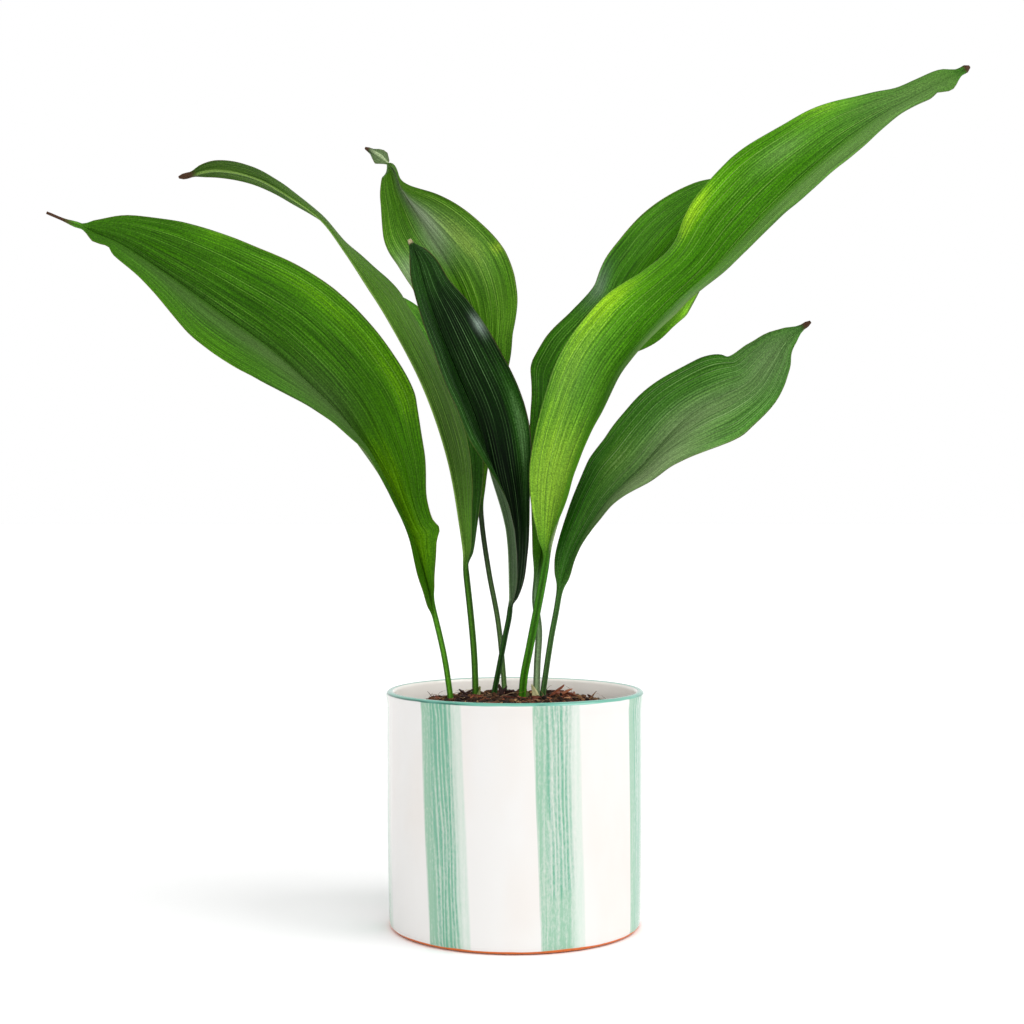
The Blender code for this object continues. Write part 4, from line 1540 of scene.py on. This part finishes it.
# x, y, z and half width in mm, then roll and fold in degrees, from each foot to its tip
STATIONS = {
    "leaf_low_left": (
        (-36, 2, 118.2, 1.7, 0, 50), (-41, 0, 154, 1.7, 0, 50), (-47.5, -3, 183, 2.6, 0, 50),
        (-51.3, -6, 199, 6.5, 8, 50), (-58, -10, 221, 14, 33, 50), (-69, -14.5, 245, 21.5, 37, 54),
        (-77.5, -18, 261, 30.5, 40, 52), (-90, -22, 279, 41.5, 46, 48), (-102, -27, 296.5, 46.5, 44, 43),
        (-133, -35, 328, 50, 39, 32), (-166.5, -43, 353, 43, 35, 27), (-201, -51, 377, 29, 37, 33),
        (-218, -54, 388, 18.5, 38, 28), (-230, -56, 393, 10, 39, 27), (-239, -57.5, 397, 3, 40, 25),
        (-246, -58.5, 399.5, 1.1, 40, 20), (-257, -60, 404, 0.8, 40, 20)),
    "leaf_back_left": (
        (-23, 12, 118, 2, 80, 45), (-24, 13, 155, 2, 80, 45), (-28.5, 15, 201, 2.2, 80, 45),
        (-31.5, 17, 225, 10.5, 82, 45), (-40, 22, 271, 24, 76, 50), (-55, 27, 315, 30, 78, 41),
        (-77, 32, 357, 30.5, 82, 36), (-89.5, 36, 377, 22, 92, 25), (-103, 41, 398, 18, 95, 5),
        (-118, 45, 418, 15, 93, 3), (-136.5, 50, 432, 13.5, 100, 3), (-159, 54, 445, 13.5, 105, 4),
        (-183, 57, 450.5, 10, 112, 5), (-208, 60, 447, 0.8, 115, 5)),
    "leaf_back_centre": (
        (-5, 34, 117.8, 1.6, 0, 45), (-10, 39, 172, 1.6, 0, 45), (-15.8, 43.5, 203, 1.7, 0, 45),
        (-20.3, 49, 234, 1.8, 0, 45), (-23, 60, 276, 12, 0, 45), (-23, 76, 316, 26, -5, 42),
        (-23, 85, 338, 35, -8, 41), (-28, 94, 365, 37.5, 3, 33), (-36, 103, 387, 38, 10, 30),
        (-47, 110, 407, 34.5, 2, 30), (-60, 117, 428, 29, -17, 34), (-72, 124, 449, 18, -34, 52),
        (-80, 130, 467, 9, -50, 40), (-84, 131, 471, 8, -100, 24), (-88, 132, 475, 7, -150, 15),
        (-99, 134, 481, 0.8, -160, 10)),
    "leaf_front_centre": (
        (-15, 24, 118.3, 1.7, 60, 35), (-6, 14, 165, 1.7, 65, 35), (-3, 10, 181, 2, 70, 35),
        (-3, 7, 198, 11, 74, 36), (-5, -1, 230, 17.5, 70, 35), (-14, -12, 262, 26, 54, 42),
        (-22, -22, 292, 30, 43, 33), (-33, -34, 319, 28, 40, 33), (-44, -46, 347, 22, 41, 29),
        (-49, -53, 362, 15, 38, 25), (-53, -58, 377, 9.5, 32, 22), (-58, -62, 389, 1, 32, 20)),
    "leaf_tall_right": (
        (4, 1, 118.5, 2.3, -40, 50), (5, -2, 142, 2.3, -40, 50), (8.3, -5, 160, 2.3, -40, 50),
        (13.7, -10, 188, 2.4, -45, 50), (19, -15, 215, 5, -50, 50), (26, -20, 241, 18, -42, 46),
        (34, -26, 267, 27, -50, 38), (44.5, -32, 292, 32, -50, 38), (56, -38, 316, 34, -48, 38),
        (71.5, -44, 336, 35, -52, 34), (89, -49, 355, 36, -62, 21), (108, -54, 372, 36, -60, 22),
        (125, -58, 391, 37.5, -50, 29), (143, -61, 410, 37.5, -47, 29), (161, -64, 427, 32.5, -46, 26),
        (180, -66, 443, 27, -45, 22), (201, -68, 457, 16.5, -48, 18), (212, -69, 463, 11.5, -45, 14),
        (223, -70, 469, 10, -41, 8), (233, -71, 474, 8.5, -40, 8), (240, -71.5, 477.5, 5, -40, 8),
        (246, -72, 481, 0.8, -40, 10)),
    "leaf_back_right": (
        (12, -4, 118, 2, 0, 50), (13, 1, 151, 2, 0, 50), (14, 5, 170, 2, 0, 50),
        (12, 9, 190, 2.4, 0, 50), (15, 11, 211, 6, -10, 45), (21, 17, 247, 13, -25, 45),
        (30, 29, 295, 29, -8, 47), (34.5, 34, 309.5, 36.5, -6, 42), (40, 38.5, 323.5, 37.5, -3, 43),
        (50, 46, 341, 32.5, -2, 43), (63, 53, 358, 35, 6, 42), (75, 62, 379, 36.5, 17, 30),
        (98, 78, 409, 31, 14, 28), (121, 90, 435, 19, 15, 28), (143, 98, 455, 0.8, 15, 28)),
    "leaf_low_right": (
        (14, 4, 117.3, 1.7, -20, 30), (21, 3, 165, 1.7, -20, 30), (24, 2, 181, 2, -20, 30),
        (27, 0, 197, 4, -20, 30), (33, -2, 213, 11, -50, 30), (49.5, -6, 241, 21, -56, 28),
        (60, -8.5, 253, 27, -53, 29), (72, -11, 265, 29, -46, 27), (82.5, -13, 277.5, 29.5, -41, 23),
        (93, -15, 289, 29.5, -33, 15), (106, -17, 299, 29, -28, 5), (120, -19, 306, 27.5, -22, 5),
        (133.5, -21, 313.5, 21, -20, 5), (144, -23, 326.5, 15.5, -20, 5), (149.5, -24, 334, 11, -20, 5),
        (155, -25, 339, 6.8, -20, 5), (168, -26, 348, 0.8, -20, 5)),
}
MIX_LEVEL = 0.36  # share of the way from a stalk's foot to its next station where it leaves the mix

# A grown leaf in full light: even mid green, satin, with fine pale veins.
BRIGHT = LeafFinish(
    "leaf_full_green", ("#1C4204", "#2A5802", "#3A6E02", "#5C9004"), "#6E9A3C", "#4E7030", "#94AA6A",
    ("#4E8A20", "#467A1E"), veins=10, vein_amount=0.44, painted_sheen="#4C6636")
# A leaf that turns over: its paler underside shows, with the stout middle vein.
TWISTED = LeafFinish(
    "leaf_turned_over", ("#143808", "#23500C", "#33660F", "#578A26"), "#7A9A54", "#4C7A1E", "#84A650",
    ("#42701C", "#345E18"), veins=6, vein_amount=0.45)
# A lighter, yellowish leaf, with a grey painted sheen where it bends to the light.
YELLOWISH = LeafFinish(
    "leaf_yellowish_green", ("#204A04", "#34640A", "#4E7E16", "#86A828"), "#8EB24E", "#5A7446", "#A2B488",
    ("#5E8044", "#32402A"), veins=8, vein_amount=0.50, painted_sheen="#9CA98E")
# The darkest leaf: near-black green and glossier, with grey-green veins and a bleached tip.
DARKEST = LeafFinish(
    "leaf_darkest_green", ("#031203", "#0A2404", "#1E4210", "#4A6E3C"), "#5E8450", "#4A6A3C", "#7C9470",
    ("#2C5220", "#1C3C14"), veins=6, vein_amount=0.50, painted_sheen="#8C9A92", roughness=0.34,
    tip="#A89C78")
# The newest leaf: the most yellow of them, with a purplish margin.
TALL = LeafFinish(
    "leaf_newest_green", ("#265C02", "#387402", "#50900A", "#90C01C"), "#92B85A", "#6A8450", "#A6B88A",
    ("#3E7A14", "#32661A"), margin="#5E3C48", veins=8, vein_amount=0.46, painted_sheen="#7C9A5C")
# A leaf grown in the shade of the rest: soft mid green, on a greyer stalk.
SHADED = LeafFinish(
    "leaf_grown_in_shade", ("#1C4606", "#2E6006", "#40760E", "#6AA01C"), "#6E9444", "#4E6E42", "#8CA278",
    ("#748A64", "#4E7844"), veins=7, vein_amount=0.44, painted_sheen="#788C78")
# A greyish leaf, a little rougher than the rest, with strong pale veins and hardly any painted shade in its
# groove.
DULL = LeafFinish(
    "leaf_greyish_green", ("#1A5204", "#36701A", "#50802A", "#7E9A54"), "#8EA872", "#5A7850", "#94A884",
    ("#486A38", "#3E6A2E"), veins=7, vein_amount=0.65, groove=0.1, painted_sheen="#84986C", roughness=0.42)


def seven_leaves() -> list[Leaf]:
    """Describe the leaves, each with its own finish, torn places and patches of colour, painted light,
    painted shade and painted sheen.

    Returns:
        The leaves, from left to right at their feet.
    """
    return [
        Leaf("leaf_low_left", BRIGHT, seed=1, tone=0.42,
             edges=(EdgeChange(Side.RIGHT, 0.283, 0.010, 3.2, -1.0),
                    EdgeChange(Side.RIGHT, 0.32, 0.03, -1.0), EdgeChange(Side.LEFT, 0.182, 0.02, 2.6, 1.5),
                    EdgeChange(Side.LEFT, 0.90, 0.008, -1.2, 1.6),
                    EdgeChange(Side.LEFT, 0.925, 0.008, 1.0, -1.2)),
             # the bright patches along the right margin are painted light shining through the leaf; the sheen
             # patches are painted reflection where the blade turns down
             patches=(Patch(0.95, 0.787, 0.16, 0.03, 0.30), Patch(0.80, 0.62, 0.13, 0.11, 0.40),
                      Patch(0.90, 0.47, 0.18, 0.07, 0.38), Patch(-0.85, 0.717, 0.25, 0.06, 0.22),
                      Patch(-0.55, 0.50, 0.5, 0.10, -0.15, 0.75), Patch(-0.30, 0.64, 0.26, 0.10, -0.10, 0.70),
                      Patch(-0.35, 0.80, 0.35, 0.09, -0.15, 0.45), Patch(0.25, 0.72, 0.45, 0.20, -0.06),
                      Patch(0.1, 0.91, 0.8, 0.05, -0.08), Patch(0.4, 0.26, 0.8, 0.06, 0.36),
                      Patch(0.18, 0.37, 0.35, 0.10, 0.50), Patch(0.05, 0.52, 0.22, 0.06, 0.05, 0.40)),
             dry_from=0.93),
        Leaf("leaf_back_left", TWISTED, seed=2, tone=0.38,
             patches=(Patch(0.9, 0.885, 0.5, 0.08, -0.2), Patch(0.0, 0.95, 1.2, 0.08, -0.75),
                      Patch(0.0, 0.64, 1.2, 0.12, 0.70), Patch(-0.3, 0.39, 0.5, 0.07, -0.30),
                      Patch(-0.7, 0.26, 0.8, 0.06, 0.45)),
             keel=1.5, dry_from=0.95),
        Leaf("leaf_back_centre", YELLOWISH, seed=3, tone=0.50,
             # the sheen patches near the middle vein are a painted highlight off the wax
             patches=(Patch(0.12, 0.905, 0.24, 0.045, 0.0, 1.0), Patch(0.22, 0.835, 0.24, 0.05, 0.0, 0.80),
                      Patch(-0.55, 0.83, 0.4, 0.12, -0.12),
                      Patch(0.00, 0.78, 0.28, 0.04, 0.0, 0.35), Patch(0.55, 0.76, 0.28, 0.07, 0.34, 0.15),
                      Patch(0.93, 0.714, 0.12, 0.010, 0.4), Patch(-0.85, 0.73, 0.25, 0.05, 0.0, 0.45),
                      Patch(0.75, 0.60, 0.3, 0.05, 0.12), Patch(0.5, 0.50, 0.6, 0.08, -0.2)),
             dry_from=0.985),
        Leaf("leaf_front_centre", DARKEST, seed=4, tone=0.32,
             # the small sheen patch high on the right margin is a painted highlight
             patches=(Patch(0.86, 0.797, 0.10, 0.020, 0.1, 0.60), Patch(-0.9, 0.60, 0.16, 0.2, 0.4),
                      Patch(0.80, 0.56, 0.14, 0.12, 0.75), Patch(-0.2, 0.93, 1.2, 0.06, 0.30),
                      Patch(0.2, 0.47, 0.4, 0.12, -0.55), Patch(0.4, 0.34, 0.8, 0.08, -0.25),
                      Patch(0.5, 0.83, 0.4, 0.06, -0.25)),
             dry_from=0.985),
        Leaf("leaf_tall_right", TALL, seed=5, tone=0.42,
             edges=(EdgeChange(Side.RIGHT, 0.950, 0.006, -1.5, 0.8),
                    EdgeChange(Side.RIGHT, 0.967, 0.008, 2.0, -0.5)),
             # the bright patches along the left margin are painted light, the dark one low on the right half
             # is painted shade, and the sheen patches are painted reflection
             patches=(Patch(-0.4, 0.30, 1.1, 0.10, 0.55, 0.25), Patch(-0.7, 0.43, 0.4, 0.05, 0.20, 0.22),
                      Patch(-0.88, 0.511, 0.3, 0.06, 0.50), Patch(-0.9, 0.654, 0.28, 0.05, 0.50),
                      Patch(-0.9, 0.845, 0.3, 0.04, 0.45), Patch(-0.55, 0.775, 0.16, 0.035, 0.0, 0.35),
                      Patch(1.0, 0.54, 0.20, 0.08, 0.0, 0.60), Patch(0.75, 0.76, 0.4, 0.14, -0.15, 0.40),
                      Patch(0.8, 0.46, 0.4, 0.07, -0.65),
                      Patch(-0.2, 0.62, 0.6, 0.16, -0.10), Patch(0.0, 0.93, 1.4, 0.08, -0.40, 0.35)),
             dry_from=0.985),
        Leaf("leaf_back_right", SHADED, seed=6, tone=0.36,
             edges=(EdgeChange(Side.RIGHT, 0.54, 0.06, -9.0), EdgeChange(Side.RIGHT, 0.66, 0.05, 2.5)),
             # the sheen patch at the left margin is a painted reflection
             patches=(Patch(-0.88, 0.66, 0.16, 0.035, -0.1, 0.45), Patch(1.0, 0.72, 0.5, 0.09, 0.6),
                      Patch(-0.8, 0.47, 0.5, 0.1, -0.22), Patch(-0.6, 0.79, 0.5, 0.05, 0.10)),
             dry_from=0.985),
        Leaf("leaf_low_right", DULL, seed=7, tone=0.42,
             # the dark patch low on the left margin is painted shade, and the sheen patches are painted
             # reflection
             patches=(Patch(0.75, 0.55, 0.45, 0.14, 0.2, 0.80), Patch(-0.9, 0.38, 0.35, 0.12, -0.5),
                      Patch(-0.45, 0.54, 0.35, 0.06, 0.30), Patch(0.1, 0.68, 0.4, 0.16, 0.05, 0.55),
                      Patch(0.0, 0.90, 1.0, 0.07, -0.1, 0.35), Patch(0.2, 0.32, 0.9, 0.07, -0.2)),
             dry_from=0.96),
    ]


# ---------------------------------------------------------------- trim at the stalks' feet


@dataclass
class BudScale:
    """The papery scale that wraps a stalk's foot: a tapering sleeve, open down one side."""

    name: str
    place: tuple[float, float, float]  # mm, where the stalk leaves the mix
    lean: tuple[float, float]  # how far the stalk moves in x and y for each mm that it rises
    height: float  # mm
    radius: float  # mm
    gap: float  # degrees, where the scale stays open
    heading: float  # degrees, of the opening
    tone: float
    seed: int

    def build(self) -> None:
        """Model the scale as a wrapped sheet with a thickness."""
        piece = begin(self.name, bpy.ops.mesh.primitive_grid_add, x_subdivisions=22, y_subdivisions=14,
                      size=1)
        places = points_of(piece)
        share = places[:, 0] + 0.5
        rise = places[:, 1] + 0.5
        half = math.radians(360 - self.gap) / 2
        narrow = 1 - rise ** 1.6
        turn = math.radians(self.heading) + math.pi + (share * 2 - 1) * half * (0.25 + 0.75 * narrow)
        jag = np.array([noise.noise(Vector((s * 9, self.seed, 0))) for s in share])
        level = self.height * rise * (1 + 0.16 * jag)
        out = self.radius * (1 + 0.10 * np.sin(share * 17 + self.seed)) + 0.7 * rise * np.abs(share * 2 - 1)
        x0, y0, z0 = self.place
        moved = np.stack([x0 + self.lean[0] * level + out * np.cos(turn),
                          y0 + self.lean[1] * level + out * np.sin(turn), z0 - 1.5 + level], axis=1)
        place_points(piece, moved * MM)
        pick(piece)
        wall = piece.modifiers.new("wall", "SOLIDIFY")
        wall.thickness = 0.22 * MM
        wall.offset = 0
        bpy.ops.object.modifier_apply(modifier=wall.name)
        in_edit(piece, (bpy.ops.mesh.normals_make_consistent, {"inside": False}))
        add_attribute(piece, TONE, np.full(len(piece.data.vertices), self.tone))
        fit_in(piece, SHEATH.build(), "leaf", smooth=50.0)


@dataclass
class Trim:
    """Bark chips, bud scales, and the root hairs and twigs that stand up out of the mix."""

    mix: PottingMix

    def chips(self) -> list[BarkChip]:
        """Describe the chips.

        Returns:
            The four of them, each for its node.
        """
        return [
            BarkChip("bark_chip_right", 25, (12.6, 4.8, 2.1), 0.55, 1),
            BarkChip("bark_chip_left", -50, (8.8, 3.8, 1.7), 0.12, 2),
            BarkChip("bark_chip_middle", 70, (7.8, 4.8, 2.5), 0.06, 3),
            BarkChip("bark_chip_back", 140, (10.6, 4.8, 1.9), 0.40, 4),
        ]

    def scales(self) -> list[BudScale]:
        """Describe the scales.

        Returns:
            The ones left at three stalks' feet.
        """
        return [
            BudScale("bud_scale_dry", (-23.0, 12.2, 131.0), (-0.02, 0.01), 7.0, 2.3, 130, 200, 0.45, 3),
            BudScale("bud_scale_pale", (12.4, -3.0, 131.4), (0.03, 0.16), 9.0, 2.5, 120, 20, 0.9, 5),
            BudScale("bud_scale_brown", (5.5, 1.0, 131.6), (0.12, -0.14), 5.0, 2.8, 150, 90, 0.2, 8),
        ]

    def wisps(self) -> None:
        """Raise root hairs and twigs out of the mix, most of them near the pot's wall."""
        random = np.random.default_rng(23)
        # x, y and length in mm, heading in degrees, and radius in mm
        starts = ((-47, 4, 9.5, -150, 0.24), (-46, 9, 6.5, -40, 0.18), (-52, 8, 8.0, 60, 0.20),
                  (-44, 14, 8.0, 170, 0.18), (-49, 18, 6.0, 100, 0.16), (-30, 4, 10.0, 95, 0.20),
                  (34, 2, 11.0, 80, 0.18), (44, 4, 6.5, 10, 0.55), (49, 9, 5.0, 165, 0.40),
                  (-20, -2, 5.0, 20, 0.18), (22, -14, 4.0, -30, 0.16), (40, -10, 5.0, 200, 0.2))
        runs = []
        for x, y, length, heading, radius in starts:
            base = self.mix.top(x, y) - 0.3
            bend = random.normal(0, 0.8)
            points = []
            for part in np.linspace(0, 1, 9):
                turn = math.radians(heading) + bend * part
                flat = length * 0.75 * part
                points.append((x + flat * math.cos(turn), y + flat * math.sin(turn),
                               base + length * (part - 0.35 * part ** 2)))
            runs.append((points, radius))
        piece = threads("mix_wisps", runs)
        add_attribute(piece, TONE, np.full(len(piece.data.vertices), 0.2))
        fit_in(piece, FIBRE.build(), "potting_mix", smooth=60.0)

    def build(self) -> None:
        """Model all of it."""
        for piece in (*self.chips(), *self.scales()):
            piece.build()
        self.wisps()


@dataclass
class Rhizome:
    """The creeping rootstock under the mix. Its shape is the frame's own, so it only gets its skin."""

    node: str = "rhizome"

    def dress(self) -> None:
        """Give the frame's node the skin of a rhizome."""
        skin = ROOTSTOCK.build()
        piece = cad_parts[self.node]
        for place in piece.material_slots:
            place.material = skin
        log.info("%s: dressed", self.node)


# ---------------------------------------------------------------- studio


@dataclass(frozen=True)
class SoftLight:
    """A wide, far light, which lights the whole floor evenly."""

    name: str
    power: float
    spread: float  # degrees across
    tilt: float  # degrees from straight up
    turn: float  # degrees round from the front, to the right

    def build(self) -> None:
        """Add the light to the scene."""
        lamp = bpy.data.lights.new(self.name, "SUN")
        lamp.energy = self.power
        lamp.angle = math.radians(self.spread)
        box = bpy.data.objects.new(self.name, lamp)
        tilt, turn = math.radians(self.tilt), math.radians(self.turn)
        away = Vector((math.sin(tilt) * math.sin(turn), -math.sin(tilt) * math.cos(turn), math.cos(tilt)))
        box.location = away * 3
        box.rotation_euler = away.to_track_quat("Z", "Y").to_euler()
        bpy.context.scene.collection.objects.link(box)


@dataclass
class Studio:
    """A white cove under soft light, and the camera.

    The surround is white at eye level and dims overhead, where one wide soft light takes over, so that
    leaves keep their shape and the floor stays white.
    """

    floor_size: float = 60.0  # m
    floor_gap: float = 0.0004  # m that the floor lies below the pot
    surround: float = 1.0  # at eye level
    ceiling: float = 0.7
    camera_place: tuple[float, float, float] = (-0.00175, -0.993, 0.2398)  # m
    focal_length: float = 59.8  # mm, over a frame 36 mm wide
    lights: tuple[SoftLight, ...] = (
        SoftLight("side_softbox", 1.15, 34.0, 47.0, 72.0),
        SoftLight("front_softbox", 0.9, 70.0, 50.0, 12.0),
    )

    def floor(self) -> None:
        """The plain white floor."""
        floor = begin("studio_floor", bpy.ops.mesh.primitive_plane_add, size=self.floor_size,
                      location=(0, 0, -self.floor_gap))
        made, shader, _ = new_material("matt_white_paper")
        wire(shader, {"Base Color": linear("#FBFBFB"), "Roughness": 0.9, "Specular IOR Level": 0.1})
        floor.data.materials.append(made)

    def world(self) -> None:
        """The surround, which dims with height."""
        sky = bpy.data.worlds.new("white_surround")
        sky.use_nodes = True
        add = partial(add_node, sky.node_tree)
        up = add("SeparateXYZ", {0: add("TexCoord", None, "Generated")}, 2)
        strength = add("MapRange", {0: up, 1: 0.42, 2: 0.80, 3: self.surround, 4: self.ceiling},
                       interpolation_type="SMOOTHSTEP")
        wire(sky.node_tree.nodes["Background"], {"Strength": strength, "Color": (1, 1, 1, 1)})
        bpy.context.scene.world = sky

    def camera(self) -> None:
        """Level camera at half the plant's height."""
        lens = bpy.data.cameras.new("camera")
        lens.lens, lens.sensor_width, lens.sensor_fit = self.focal_length, 36.0, "HORIZONTAL"
        lens.clip_start, lens.clip_end = 0.05, 100.0
        stand = bpy.data.objects.new("camera", lens)
        stand.location = self.camera_place
        stand.rotation_euler = (math.radians(90), 0, 0)
        bpy.context.scene.collection.objects.link(stand)
        bpy.context.scene.camera = stand

    def build(self) -> None:
        """Set up the whole studio."""
        self.floor()
        self.world()
        for light in self.lights:
            light.build()
        self.camera()
        bpy.context.scene.view_settings.view_transform = "Standard"
        log.info("studio ready")


def main() -> None:
    """Build every piece over the frame and keep the sizes."""
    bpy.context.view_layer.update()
    Pot().build()
    feet = tuple(tuple(low + (high - low) * MIX_LEVEL for low, high in zip(first[:2], second[:2]))
                 for first, second, *_ in STATIONS.values())
    mix = PottingMix(stalks=feet)
    mix.build()
    Trim(mix).build()
    Rhizome().dress()
    for leaf in seven_leaves():
        leaf.build()
    Studio().build()


if __name__ == "__main__":
    main()
